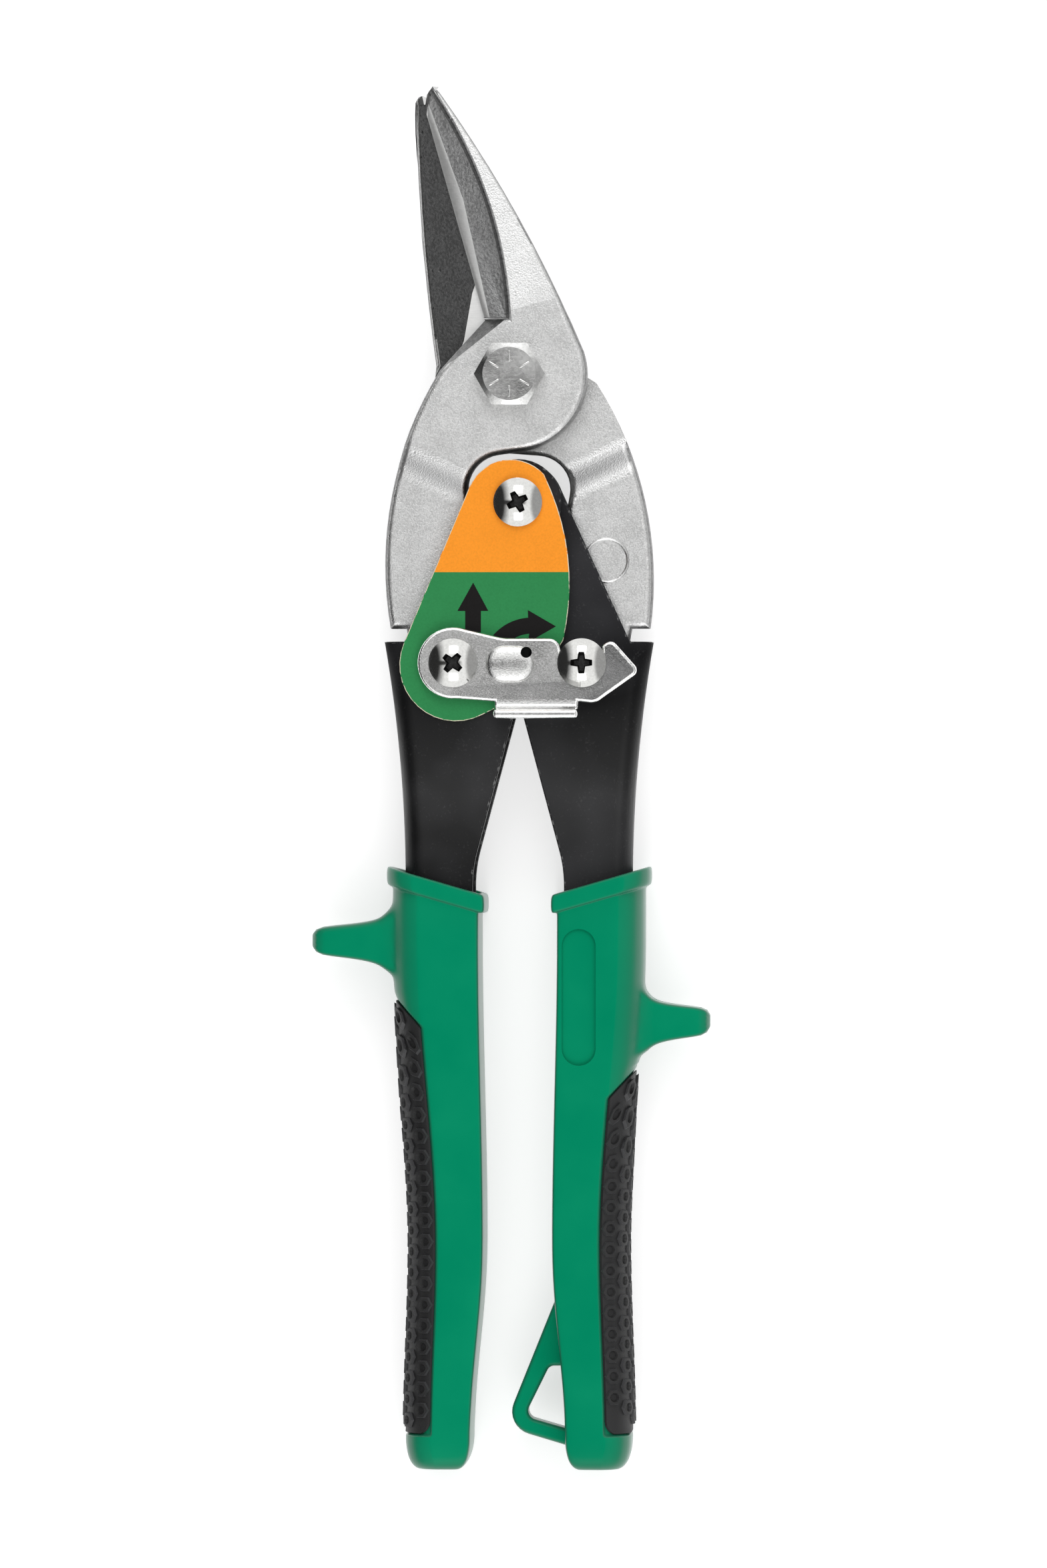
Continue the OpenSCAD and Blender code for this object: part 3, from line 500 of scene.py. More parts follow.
def put(tree, kind, values=None, **settings):
    """Adds a node, sets its options and fills or links its inputs."""
    node = tree.nodes.new(kind)
    for name, value in settings.items():
        setattr(node, name, value)
    for name, value in (values or {}).items():
        if isinstance(value, bpy.types.NodeSocket):
            tree.links.new(value, node.inputs[name])
        else:
            node.inputs[name].default_value = value
    return node


def maths(tree, operation, first, second=0.5):
    return put(tree, "ShaderNodeMath", {0: first, 1: second}, operation=operation).outputs[0]


def blend_colour(tree, factor, first, second):
    values = {0: factor, 6: first, 7: second}
    return put(tree, "ShaderNodeMix", values, data_type="RGBA").outputs[2]


def spread(tree, value, low, high, to_low=0.0, to_high=1.0):
    values = {"Value": value, "From Min": low, "From Max": high, "To Min": to_low, "To Max": to_high}
    return put(tree, "ShaderNodeMapRange", values).outputs[0]


def object_place(tree):
    return put(tree, "ShaderNodeTexCoord").outputs["Object"]


def part_of(tree, vector, axis):
    return put(tree, "ShaderNodeSeparateXYZ", {0: vector}).outputs[axis]


def attribute(tree, name):
    return put(tree, "ShaderNodeAttribute", attribute_name=name).outputs["Fac"]


def noise(tree, place, scale, detail=3.0, rough=0.55):
    values = {"Vector": place, "Scale": scale, "Detail": detail, "Roughness": rough}
    return put(tree, "ShaderNodeTexNoise", values).outputs[0]


def new_group(name, inputs, outputs):
    """An empty shader node group with float sockets."""
    group = bpy.data.node_groups.new(name, "ShaderNodeTree")
    for label, default in inputs:
        socket = group.interface.new_socket(label, in_out="INPUT", socket_type="NodeSocketFloat")
        socket.default_value = default
    for label in outputs:
        group.interface.new_socket(label, in_out="OUTPUT", socket_type="NodeSocketFloat")
    return group, group.nodes.new("NodeGroupInput").outputs, group.nodes.new("NodeGroupOutput").inputs


@once
def grain_group():
    """Fine grain and a few pits, as on a blasted and plated forging."""
    group, given, out = new_group("Grain", [("Grain Scale", 3000.0), ("Pits", 0.4)], ["Height", "Tone"])
    place = object_place(group)
    fine = noise(group, place, given["Grain Scale"], rough=0.6)
    broad = noise(group, place, BROAD_SCALE)
    cells = put(group, "ShaderNodeTexVoronoi", {"Vector": place, "Scale": PIT_SCALE}, feature="F1")
    pits = spread(group, cells.outputs["Distance"], 0.05, 0.24, 1.0, 0.0)
    pits = maths(group, "MULTIPLY", pits, given["Pits"])
    pits = maths(group, "MULTIPLY", pits, spread(group, broad, 0.5, 0.62))
    tone = maths(group, "ADD", maths(group, "MULTIPLY", fine, 0.75), maths(group, "MULTIPLY", broad, 0.25))
    tone = maths(group, "SUBTRACT", tone, maths(group, "MULTIPLY", pits, 0.5))
    group.links.new(maths(group, "SUBTRACT", fine, pits), out["Height"])
    group.links.new(tone, out["Tone"])
    return group


@once
def wear_and_highlight_group():
    """Broken wear along rounded edges, and painted highlights round the pads' hexagons, from the faces that
    are marked as worn.
    """
    group, given, out = new_group("Edge Wear", [("Amount", 0.5), ("Patch Scale", 400.0)], ["Mask"])
    patches = noise(group, object_place(group), given["Patch Scale"], 4.0, 0.65)
    low = maths(group, "SUBTRACT", 0.75, maths(group, "MULTIPLY", given["Amount"], 0.5))
    broken = spread(group, patches, low, maths(group, "ADD", low, 0.12))
    group.links.new(maths(group, "MULTIPLY", attribute(group, "worn"), broken), out["Mask"])
    return group


@once
def handling_group():
    """Soft uneven gloss from handling."""
    group, given, out = new_group("Handling", [("Smear Scale", 120.0)], ["Smear"])
    group.links.new(noise(group, object_place(group), given["Smear Scale"]), out["Smear"])
    return group


def use_group(tree, group, **values):
    node = tree.nodes.new("ShaderNodeGroup")
    node.node_tree = group
    for name, value in values.items():
        node.inputs[name.replace("_", " ").title()].default_value = value
    return node.outputs


def new_material(name):
    material = bpy.data.materials.new(name)
    material.use_nodes = True
    tree = material.node_tree
    return material, tree, tree.nodes["Principled BSDF"].inputs


def dress(tree, surface, base, rough, height, distance):
    """Links the colour, the roughness and the bump of a surface."""
    tree.links.new(base, surface["Base Color"])
    tree.links.new(rough, surface["Roughness"])
    bump = put(tree, "ShaderNodeBump", {"Height": height, "Distance": distance, "Strength": 1.0})
    tree.links.new(bump.outputs[0], surface["Normal"])


@once
def metal(name):
    """Plated steel with grain, uneven gloss, brighter worn edges and painted shade where a slope mask is set.
    """
    look = METALS[name]
    colour = paint(look["colour"])
    height, scale = look["grain"]
    material, tree, surface = new_material(name)
    surface["Metallic"].default_value = 1.0
    grain = use_group(tree, grain_group(), grain_scale=scale, pits=look["pits"])
    smear = use_group(tree, handling_group())["Smear"]
    tone = spread(tree, grain["Tone"], 0.4, 0.58)
    base = blend_colour(tree, tone, shade(colour, look["dull"]), colour)
    rough = spread(tree, smear, 0.35, 0.65, *look["rough"])
    # Painted shade: a darker grey blended in by the slope mask
    if "slope" in look:
        base = blend_colour(tree, attribute(tree, "slope"), base, paint(look["slope"]))
    if look["wear"]:
        worn = use_group(tree, wear_and_highlight_group(), amount=look["wear"])["Mask"]
        base = blend_colour(tree, worn, base, paint("bare_steel"))
        rough = maths(tree, "SUBTRACT", rough, maths(tree, "MULTIPLY", worn, look["rough"][0] * 0.4))
    dress(tree, surface, base, rough, grain["Height"], height * MM)
    return material


@once
def ground_steel():
    """Freshly ground strip along a cutting edge."""
    material, tree, surface = new_material("ground_steel")
    surface["Metallic"].default_value = 1.0
    place = put(tree, "ShaderNodeMapping", {
        "Vector": object_place(tree), "Rotation": (0.0, 0.0, -0.28), "Scale": (0.12, 1.0, 1.0)}).outputs[0]
    lines = noise(tree, place, 5200.0)
    bare = paint("bare_steel")
    base = blend_colour(tree, lines, shade(bare, 0.85), bare)
    dress(tree, surface, base, spread(tree, lines, 0.3, 0.7, 0.42, 0.5), lines, 0.01 * MM)
    return material


@once
def black_steel():
    """Blackened sheet with fine grain, a few specks, rubbed edges, lighter patches of uneven blackening and
    painted sheen, and a band of painted sheen halfway up.
    """
    material, tree, surface = new_material("blackened_sheet")
    grain = use_group(tree, grain_group(), grain_scale=2400.0, pits=0.3)
    smear = use_group(tree, handling_group(), smear_scale=30.0)["Smear"]
    worn = use_group(tree, wear_and_highlight_group(), amount=0.45, patch_scale=700.0)["Mask"]
    black, bare = paint("handle_black"), paint("bare_steel")
    # Lighter patches: partly uneven blackening, partly painted sheen
    base = blend_colour(tree, spread(tree, smear, 0.42, 0.7), black, shade(black, 7.0))
    base = blend_colour(tree, spread(tree, grain["Tone"], 0.58, 0.7, 0.0, 0.02), base, bare)
    base = blend_colour(tree, maths(tree, "MULTIPLY", worn, 0.15), base, bare)
    dress(tree, surface, base, spread(tree, smear, 0.3, 0.7, 0.32, 0.46), grain["Height"], 0.012 * MM)
    # A coat laid in a band halfway up paints a sheen there and leaves the ends darker
    away = maths(tree, "SUBTRACT", part_of(tree, object_place(tree), 1), PAINTED_SHEEN_HEIGHT)
    away = maths(tree, "ABSOLUTE", away)
    tree.links.new(spread(tree, away, 0.0, PAINTED_SHEEN_REACH, PAINTED_SHEEN_COAT, 0.0), surface["Coat Weight"])
    surface["Coat Roughness"].default_value = SHEET_SHEEN
    surface["Specular IOR Level"].default_value = FLAT_GLOSS
    return material


@once
def green_plastic():
    """Moulded plastic with a faint spark texture, matt in front and glossier round its sides, where a paler
    grey-green paints their sheen.
    """
    material, tree, surface = new_material("moulded_green")
    grain = use_group(tree, grain_group(), grain_scale=3600.0)
    smear = use_group(tree, handling_group(), smear_scale=70.0)["Smear"]
    green = paint("grip_green")
    pale = (green[0] + 0.002, green[1] * 1.04, green[2] * 1.04, 1.0)
    base = blend_colour(tree, spread(tree, smear, 0.3, 0.7), shade(green, 0.94), pale)
    facing = part_of(tree, put(tree, "ShaderNodeNewGeometry").outputs["Normal"], 2)
    # Sides picked by how they face get a paler colour and a coat: painted sheen
    side = spread(tree, maths(tree, "ABSOLUTE", facing), 0.97, 0.6)
    base = blend_colour(tree, side, base, paint("painted_sheen_green"))
    dress(tree, surface, base, spread(tree, smear, 0.3, 0.7, 0.3, 0.36), grain["Height"], 0.01 * MM)
    tree.links.new(side, surface["Coat Weight"])
    surface["Coat Roughness"].default_value = GRIP_SHEEN
    surface["Specular IOR Level"].default_value = FLAT_GLOSS
    return material


@once
def black_rubber():
    """Matt rubber, paler in rubbed patches, with painted highlights on the rims of its hexagons."""
    material, tree, surface = new_material("moulded_rubber")
    grain = use_group(tree, grain_group(), grain_scale=3200.0)
    smear = use_group(tree, handling_group(), smear_scale=90.0)["Smear"]
    worn = use_group(tree, wear_and_highlight_group(), amount=0.9, patch_scale=300.0)["Mask"]
    black = paint("rubber_black")
    base = blend_colour(tree, smear, black, shade(black, 1.6))
    # Painted highlights on the hexagons' rims, from the marked faces
    base = blend_colour(tree, worn, base, shade(black, 5.0))
    dress(tree, surface, base, spread(tree, smear, 0.3, 0.7, 0.48, 0.62), grain["Height"], 0.015 * MM)
    return material


@once
def printed(name):
    """Printed lacquer, rubbed through to a pale primer along the edges."""
    material, tree, surface = new_material(name)
    grain = use_group(tree, grain_group(), grain_scale=2600.0)
    worn = use_group(tree, wear_and_highlight_group(), amount=0.75, patch_scale=500.0)["Mask"]
    colour = paint(name)
    base = blend_colour(tree, spread(tree, grain["Tone"], 0.35, 0.6), shade(colour, 0.9), colour)
    base = blend_colour(tree, worn, base, paint("label_cream"))
    dress(tree, surface, base, spread(tree, grain["Tone"], 0.3, 0.7, 0.34, 0.44), grain["Height"], 0.006 * MM)
    surface["Specular IOR Level"].default_value = PRINT_GLOSS
    return material


# Jaws: cuts, starts and lengths without a unit are in millimetres from the jaw pivot or from the middle plane

UPPER_CUT = ((-4.7, 10.0), (-15.7, 48.6))
LOWER_CUT = ((-3.2, 10.2), (-14.6, 50.0))
BLADE_START, TIP_START, TANG_START = 8.0, 45.0, -8.0
FLAT_LEAN, TAPER_LEAN, ROUND_LEAN, RIM_LEAN = 0.9995, 0.985, 0.9, 0.75
CREASE_GAP = 0.35 * MM
RIM_HEIGHT = 3 * MM
FLAT_RISE, UPPER_TOP, SHEAR_BAND = 4.0, 5.25, 0.6
SHOULDER_OUT = (0.75, 0.66)
STEP_WAY = (-0.4305, -0.9026)
STEP_MIDDLE, STEP_RUN, STEP_DROP, STEP_CUTS = 22.1, 4.6, 2.65, 12
STRIP_WIDEST, STRIP_ENDS = 0.55, 0.42
EDGE_BAND, EDGE_LEAD = 0.3, 1.0
RELIEF_FACING, RELIEF_LEAN, RELIEF_LEAD = 0.9, -0.15, 4.0
CUTTER_TOP = MID_Z + 9 * MM
RING_PLACE, RING_FOOT = (17.33, -33.5), MID_Z + 2.8 * MM
GROUND, RELIEF, SHADED_HOLLOW, WALL, SHADED_RIM, TAPER = range(1, 7)
SCREW_HOLE, BOLT_HOLE = 2.05 * MM, 3.22 * MM
BUSH_HOLE, LOOSE_HOLE = 3.95 * MM, 4.3 * MM
JAW_BORES = {"upper_jaw": [(JAW_PIVOT, BOLT_HOLE), (LEFT_PIVOT, BUSH_HOLE)],
             "lower_jaw": [(JAW_PIVOT, BOLT_HOLE), (RIGHT_PIVOT, LOOSE_HOLE)]}


def from_pivot(point):
    """A point in millimetres from the jaw pivot, in the plane of the tool."""
    return Vector(((point.x - JAW_PIVOT.x) / MM, (point.y - JAW_PIVOT.y) / MM))


def edge_spot(edge):
    return from_pivot((edge.verts[0].co + edge.verts[1].co) / 2)


def line_gap(point, line):
    """Distance of a point from a line in millimetres, positive to the right of its direction."""
    start, end = Vector(line[0]), Vector(line[1])
    along = (end - start).normalized()
    offset = point - start
    return offset.x * along.y - offset.y * along.x


def wall_height(face):
    heights = [v.co.z for v in face.verts]
    return max(heights) - min(heights)


def jaw_groups(bm, cut, front):
    """Sorts a jaw's sharp edges by how much they are rounded."""
    size = sizes()
    forging, blade, shear, rib, fine = [], [], [], [], []
    shoulder = Vector((-SHOULDER_OUT[0] * front, SHOULDER_OUT[1], 0.0))
    for edge in sharp_edges(bm, 25):
        spot = edge_spot(edge)
        walls = [f for f in edge.link_faces if abs(f.normal.z) < WALL_LEAN]
        if not walls or (abs(line_gap(spot, cut)) < EDGE_BAND and spot.y > cut[0][1] - EDGE_LEAD):
            continue
        tall = wall_height(walls[0]) > RIM_HEIGHT
        if len(walls) == 2:
            if tall:
                fine.append(edge)
            continue
        face = next(f for f in edge.link_faces if f not in walls)
        out = walls[0].normal
        height = abs(edge.verts[0].co.z + edge.verts[1].co.z - 2 * MID_Z) / 2 / MM
        level = abs(face.normal.z) > FLAT_LEAN
        if face.normal.z * front < 0 and (spot.y > TANG_START or (level and height < SHEAR_BAND)):
            if out.dot(shoulder) < 0 and tall:
                shear.append(edge)
        elif spot.y > BLADE_START and out.x * front < 0:
            rib.append(edge)
        elif spot.y > BLADE_START and not (level and height > FLAT_RISE):
            blade.append(edge)
        else:
            forging.append(edge)
    return [(forging, size.forging_edge), (blade, size.blade_edge), (shear, size.shear_edge),
            (rib, size.rib_edge), (fine, size.fine_edge)]


def sloped_cutter(corners, line, rise, slope):
    """A block over an outline, whose underside falls away to the left of a line from a height."""
    bm = prism(placed(corners, JAW_PIVOT), MID_Z, CUTTER_TOP)
    for vert in bm.verts:
        if vert.co.z < CUTTER_TOP - MM:
            vert.co.z = MID_Z + (rise + slope * line_gap(from_pivot(vert.co), line)) * MM
    return bm


def long_hollow():
    """Cutter for the hollow of the lower blade, which runs on under the upper jaw's shoulder."""
    line = ((-6.6, 16.5), (-14.9, 48.0))
    corners = [(-15.2, 49.2), line[0], (-7.1, 15.0), (-8.6, 6.4), (-11.8, -1.5), (-24.0, -1.5), (-24.0, 49.2)]
    return sloped_cutter(corners, line, -0.07, 0.2)


def shoulder_slope():
    """Cutter for the sloping wall from the throat along the upper jaw's shoulder."""
    line = ((-13.4, 0.0), (-0.8, 10.02))
    corners = [line[0], line[1], (-14.0, 10.02), (-18.0, 5.0)]
    return sloped_cutter(corners, line, UPPER_TOP, 1.65)


def blend_step(bm, front):
    """Eases the step from a jaw's pivot to its tang, which the CAD model makes with two creases, and sets a
    slope mask across the step for painted shade.
    """
    way = Vector((STEP_WAY[0] * front, STEP_WAY[1], 0.0))
    blend = sizes().step_blend
    for k in range(STEP_CUTS + 1):
        cut_across(bm, JAW_PIVOT + way * (STEP_MIDDLE * MM + blend * (k / STEP_CUTS - 0.5)), way)
    # The slope mask paints shade across the step
    slope = bm.verts.layers.float.new("slope")
    for vert in bm.verts:
        along = (vert.co - JAW_PIVOT).dot(way) - STEP_MIDDLE * MM
        vert[slope] = ease(1 - 2 * abs(along) / blend)
        straight = min(max(along / (STEP_RUN * MM) + 0.5, 0.0), 1.0)
        vert.co.z -= front * STEP_DROP * MM * (ease(along / blend + 0.5) - straight)
    bm.normal_update()


def join_creases(bm):
    """Joins corners of a blade's rim that lie too close together to be rounded apart."""
    short = [e for e in bm.edges if e.calc_length() < CREASE_GAP and BLADE_START < edge_spot(e).y < TIP_START
             and any(abs(f.normal.z) > WALL_LEAN for f in e.link_faces)]
    bmesh.ops.collapse(bm, edges=short)
    bm.normal_update()


def forged(node, cut, front):
    """A jaw from the CAD model with rounded rims, clean bores and an eased step."""
    bm = plugged(node_copy(node), JAW_BORES[node])
    join_creases(bm)
    if front < 0:
        bm = combined(bm, long_hollow())
        make_flat(bm)
    bm = rounded(bm, jaw_groups(bm, cut, front), 4)
    if front > 0:
        bm = combined(bm, shoulder_slope())
    bm = bored(bm, JAW_BORES[node])
    blend_step(bm, front)
    return bm


def sloping(bm, cut):
    """Faces of a blade that slope down to the left."""
    low = JAW_PIVOT.y + (cut[0][1] - RELIEF_LEAD) * MM
    return [f for f in bm.faces if f.normal.z > RELIEF_FACING and f.normal.x < RELIEF_LEAN
            and f.calc_center_median().y > low]


def grind_strip(bm, cut):
    """Splits a strip along the upper cutting edge, widest in the middle, which has its own ground finish."""
    width = sizes().ground_strip
    root, tip = (beside(JAW_PIVOT, *p) for p in cut)
    along = (tip - root).normalized()
    across = Vector((along.y, -along.x, 0.0))
    middle = root.lerp(tip, STRIP_WIDEST) + across * width
    borders = []
    for end, way in ((root, 1), (tip, -1)):
        lean = (middle - end - across * width * STRIP_ENDS).normalized() * way
        borders.append(Vector((lean.y, -lean.x, 0.0)))
        relief = sloping(bm, cut)
        rims = {e for f in relief for e in f.edges}
        corners = {v for f in relief for v in f.verts}
        cut_across(bm, middle, borders[-1], relief + list(rims) + list(corners))
    for face in sloping(bm, cut):
        gap = face.calc_center_median() - middle
        face.material_index = GROUND if all(gap.dot(border) < 0 for border in borders) else RELIEF


def mark_lower_blade(bm):
    """Gives the lower blade's hollow a grey of painted shade and its shearing face its own ground finish."""
    cut_across(bm, JAW_PIVOT, (1, 0, 0))
    for face in sloping(bm, LOWER_CUT):
        face.material_index = SHADED_HOLLOW
    for face in bm.faces:
        spot = face.calc_center_median()
        if face.normal.z > FLAT_LEAN and abs(spot.z - MID_Z) < SHEAR_BAND * MM and spot.x < JAW_PIVOT.x:
            face.material_index = GROUND


def mark_rims(bm, upper):
    """Gives the walls and the rims greys of painted shade, and the upper blade's taper a painted highlight,
    by how their faces lean.
    """
    for face in bm.faces:
        spot = from_pivot(face.calc_center_median())
        lean = abs(face.normal.z)
        if upper and spot.y > UPPER_CUT[0][1] and face.normal.x < 0 and lean < ROUND_LEAN:
            face.material_index = WALL
        elif lean < RIM_LEAN:
            face.material_index = SHADED_RIM
        elif upper and spot.y > BLADE_START and TAPER_LEAN < face.normal.z < FLAT_LEAN:
            face.material_index = face.material_index or TAPER


def forging_ring():
    """A plain raised ring on the lower jaw's tang."""
    outer, inner, rise = 4.35 * MM, 3.4 * MM, 0.34 * MM
    foot, shoulder, crest = RING_FOOT - rise, RING_FOOT + rise * 0.8, RING_FOOT + rise
    profile = [(inner, foot), (inner + rise, shoulder), ((outer + inner) / 2, crest)]
    profile += [(outer - rise, shoulder), (outer, foot)]
    return turned(profile, beside(JAW_PIVOT, *RING_PLACE), BORE_STEPS)


class SNIPS_OT_jaws(bpy.types.Operator):
    """Forged jaws with rounded rims, rough relieved faces and a ground cutting edge"""

    bl_idname = "snips.jaws"
    bl_label = "Jaws"

    def execute(self, context):
        finishes = [metal("satin_forging"), ground_steel()]
        # The hollow, wall and rim steels are greys of painted shade; the taper's brighter steel is a painted
        # highlight
        finishes += [metal(part + "_steel") for part in ("relief", "hollow", "wall", "rim")]
        finishes.append(metal("bright_taper"))
        upper = forged("upper_jaw", UPPER_CUT, 1)
        grind_strip(upper, UPPER_CUT)
        mark_rims(upper, True)
        piece("forged_upper_jaw", upper, "upper_jaw", finishes)
        lower = forged("lower_jaw", LOWER_CUT, -1)
        mark_lower_blade(lower)
        mark_rims(lower, False)
        add(lower, forging_ring())
        piece("forged_lower_jaw", lower, "lower_jaw", finishes)
        return {"FINISHED"}


# Hexagon hardware

HEX_SIDES, SIDE_STEPS = 6, 12
HALF_SECTOR = CHAMFER_ANGLE = math.radians(30)
BOLT_SHANK = 3.17 * MM
NUT_ROUND, NUT_STEPS = 0.97, 32
BAR_LENGTH, BAR_PLACE = 0.42, 0.66
BAR_WIDTH, BAR_HEIGHT, BAR_EDGE = 0.34 * MM, 0.3 * MM, 0.1 * MM


def hex_reach(turn, flats):
    """Distance from the middle of a hexagon to its side, at an angle from a corner."""
    sector = math.tau / HEX_SIDES
    return flats / 2 / math.cos(turn % sector - sector / 2)


def hex_rings(flats, chamfer, low, high, place, top_only=False):
    """Rings of a hexagon prism whose corners are turned off by a chamfer."""
    turns = full_turn(HEX_SIDES * SIDE_STEPS)
    reaches = [hex_reach(w, flats) for w in turns]
    falls = [max(0.0, r - chamfer) * math.tan(CHAMFER_ANGLE) for r in reaches]

    def circle(z):
        return [(place.x + chamfer * math.cos(w), place.y + chamfer * math.sin(w), z) for w in turns]

    def hexagon(z, side):
        return [(place.x + r * math.cos(w), place.y + r * math.sin(w), z - side * fall)
                for w, r, fall in zip(turns, reaches, falls)]

    bottom = [hexagon(low, 0)] if top_only else [circle(low), hexagon(low, -1)]
    return bottom + [hexagon(high, 1), circle(high)]


def hex_nut(node, hole):
    low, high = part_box(node)
    place = centre(node)
    flats = high.y - low.y
    body = loft(hex_rings(flats, flats / 2 * NUT_ROUND, low.z, high.z, place))
    lead, slack = 0.3 * MM, 0.1 * MM
    mouth = hole + lead + slack
    bore = [(0.0, low.z - slack), (mouth, low.z - slack), (hole, low.z + lead), (hole, high.z - lead),
            (mouth, high.z + slack), (0.0, high.z + slack)]
    return combined(body, turned(bore, place, NUT_STEPS))


def ring_turned(node, hole, edge, part=None):
    """A plain ring with small chamfers, filling a CAD ring's space or a part of it."""
    low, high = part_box(node)
    outer = (high.x - low.x) / 2
    bottom, top = part or (low.z, high.z)
    return turned([(hole, bottom), (outer - edge, bottom), (outer, bottom + edge), (outer, top - edge),
                   (outer - edge, top), (hole, top)], centre(node))


def head_bars(place, top, reach):
    """Six plain radial bars on the bolt head."""
    bm = bmesh.new()
    for turn in full_turn(HEX_SIDES):
        made = bmesh.ops.create_cube(bm, size=1.0)["verts"]
        bmesh.ops.scale(bm, verts=made, vec=(reach * BAR_LENGTH, BAR_WIDTH, BAR_HEIGHT))
        bmesh.ops.translate(bm, verts=made, vec=(reach * BAR_PLACE, 0, 0))
        bmesh.ops.rotate(bm, verts=made, cent=(0, 0, 0), matrix=Matrix.Rotation(HALF_SECTOR + turn, 3, "Z"))
    bmesh.ops.translate(bm, verts=bm.verts, vec=(place.x, place.y, top))
    round_edges(bm, sharp_edges(bm), BAR_EDGE, 2)
    return bm


def hex_bolt():
    low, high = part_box("jaw_pivot_bolt")
    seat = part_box("upper_jaw")[1].z
    inside, lead = seat + 0.1 * MM, 0.4 * MM
    chamfer = sizes().bolt_chamfer
    bm = loft(hex_rings(high.y - low.y, chamfer, seat, high.z, JAW_PIVOT, top_only=True))
    shank = [(0.0, low.z), (BOLT_SHANK - lead, low.z), (BOLT_SHANK, low.z + lead), (BOLT_SHANK, inside),
             (0.0, inside)]
    add(bm, turned(shank, JAW_PIVOT, BORE_STEPS))
    add(bm, head_bars(JAW_PIVOT, high.z, chamfer))
    return bm


class SNIPS_OT_jaw_pivot(bpy.types.Operator):
    """Hexagon bolt with a turned top and radial bars, its washer and its nut"""

    bl_idname = "snips.jaw_pivot"
    bl_label = "Jaw pivot"

    def execute(self, context):
        finish = [metal("dull_bolt")]
        piece("hex_bolt", hex_bolt(), "jaw_pivot_bolt", finish, smooth=20)
        piece("bolt_washer", ring_turned("jaw_pivot_washer", BOLT_HOLE, 0.2 * MM), "jaw_pivot_washer", finish)
        piece("bolt_nut", hex_nut("jaw_pivot_nut", BOLT_HOLE), "jaw_pivot_nut", finish, smooth=20)
        return {"FINISHED"}


# Screws

SCREW_TURNS = {"handle_pivot": 27, "left_pivot": 50, "right_pivot": 0}
RECESS_DEPTH, RECESS_TAPER, RECESS_LIFT = 1.7 * MM, 0.62, 0.4 * MM
CROWN_STEPS = 14


def cross_cutter(place, top, turn):
    """Tapered cross that forms a screw's drive recess."""
    arm, half = 2.25 * MM, 0.58 * MM
    inner = half * 1.35
    notch = inner * 0.98
    outline = []
    for k in range(4):
        w = math.radians(turn + 90 * k)
        ahead, aside = Vector((math.cos(w), math.sin(w))), Vector((-math.sin(w), math.cos(w)))
        outline += [ahead * inner - aside * notch, ahead * arm - aside * half, ahead * arm + aside * half]
    bm = prism(outline, RECESS_LIFT, -RECESS_DEPTH)
    floor = [v for v in bm.verts if v.co.z < 0]
    bmesh.ops.scale(bm, verts=floor, vec=(RECESS_TAPER, RECESS_TAPER, 1.0))
    bmesh.ops.translate(bm, verts=bm.verts, vec=(place.x, place.y, top))
    # These faces take the recess steel, whose dark grey is dirt and painted shade
    for face in bm.faces:
        face.material_index = 1
    return bm


def pan_screw(node, turn):
    low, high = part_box(node)
    place = centre(node)
    head = (high.x - low.x) / 2
    shank, rise, rim, tip, edge = 2.0 * MM, 2.6 * MM, 0.85 * MM, 0.4 * MM, 0.15 * MM
    seat = high.z - rise
    dome = rise - rim
    ball = (head * head + dome * dome) / (2 * dome)
    sweep = math.degrees(math.asin(head / ball))
    crown = arc((0.0, high.z - ball), ball, 90 - sweep, 90, CROWN_STEPS)
    crown[-1] = (0.0, high.z)
    profile = [(0.0, low.z), (shank - tip, low.z), (shank, low.z + tip), (shank, seat), (head - edge, seat),
               (head, seat + edge)] + crown
    return combined(turned(profile, place), cross_cutter(place, high.z, turn))


class SNIPS_OT_screws(bpy.types.Operator):
    """Pan head screws with cross recesses, and their nuts"""

    bl_idname = "snips.screws"
    bl_label = "Screws"

    def execute(self, context):
        for name, turn in SCREW_TURNS.items():
            node = name + "_screw"
            piece("pan_" + node, pan_screw(node, turn), node, [metal("mirror_zinc"), metal("recess_steel")])
            node = name + "_nut"
            piece("hex_" + node, hex_nut(node, SCREW_HOLE), node, [metal("satin_zinc")], smooth=20)
        return {"FINISHED"}


# Handles


class SNIPS_OT_handles(bpy.types.Operator):
    """Blackened stamped handles with eased edges"""

    bl_idname = "snips.handles"
    bl_label = "Handles"

    def execute(self, context):
        for side in SIDES:
            node = side + "_handle"
            bm = node_copy(node)
            bm = rounded(bm, [(sharp_edges(bm, 50), sizes().sheet_edge)])
            piece("stamped_" + node, bm, node, [black_steel()])
        return {"FINISHED"}


# Grips: u runs out from the centre line, drop runs down from the jaw pivot, z is from the middle plane

COLLAR_DROP = 91.3 * MM
COLLAR_SLANT = 0.29
SLANT_FADE, STEP_FADE = 14 * MM, 6 * MM
END_DROP = JAW_PIVOT.y - GRIP_END
END_FALL, END_INSET = 4.2 * MM, 2.6 * MM
WAIST_DROP = 157.3 * MM
BODY_OUTER = (22.9 * MM, 19.6 * MM, 20.5 * MM)
BODY_INNER = (7.0 * MM, 6.1 * MM, 8.5 * MM)
NARROW_START, NARROW_RUN, FLARE_RUN = 0.1, 0.52, 0.33
DEPTH_LIMIT, WIDTH_LIMIT, INNER_LIMIT, INNER_BULGE = 0.9, 0.45, 0.4, 0.3
PARTING_RISE, SEAM_TURN = 0.12 * MM, 2
FRONT_PITCH = 3.5 * MM
POCKET_DEPTH = 5 * MM
EDGE_SOFT, SEAM = 0.35 * MM, 0.25 * MM
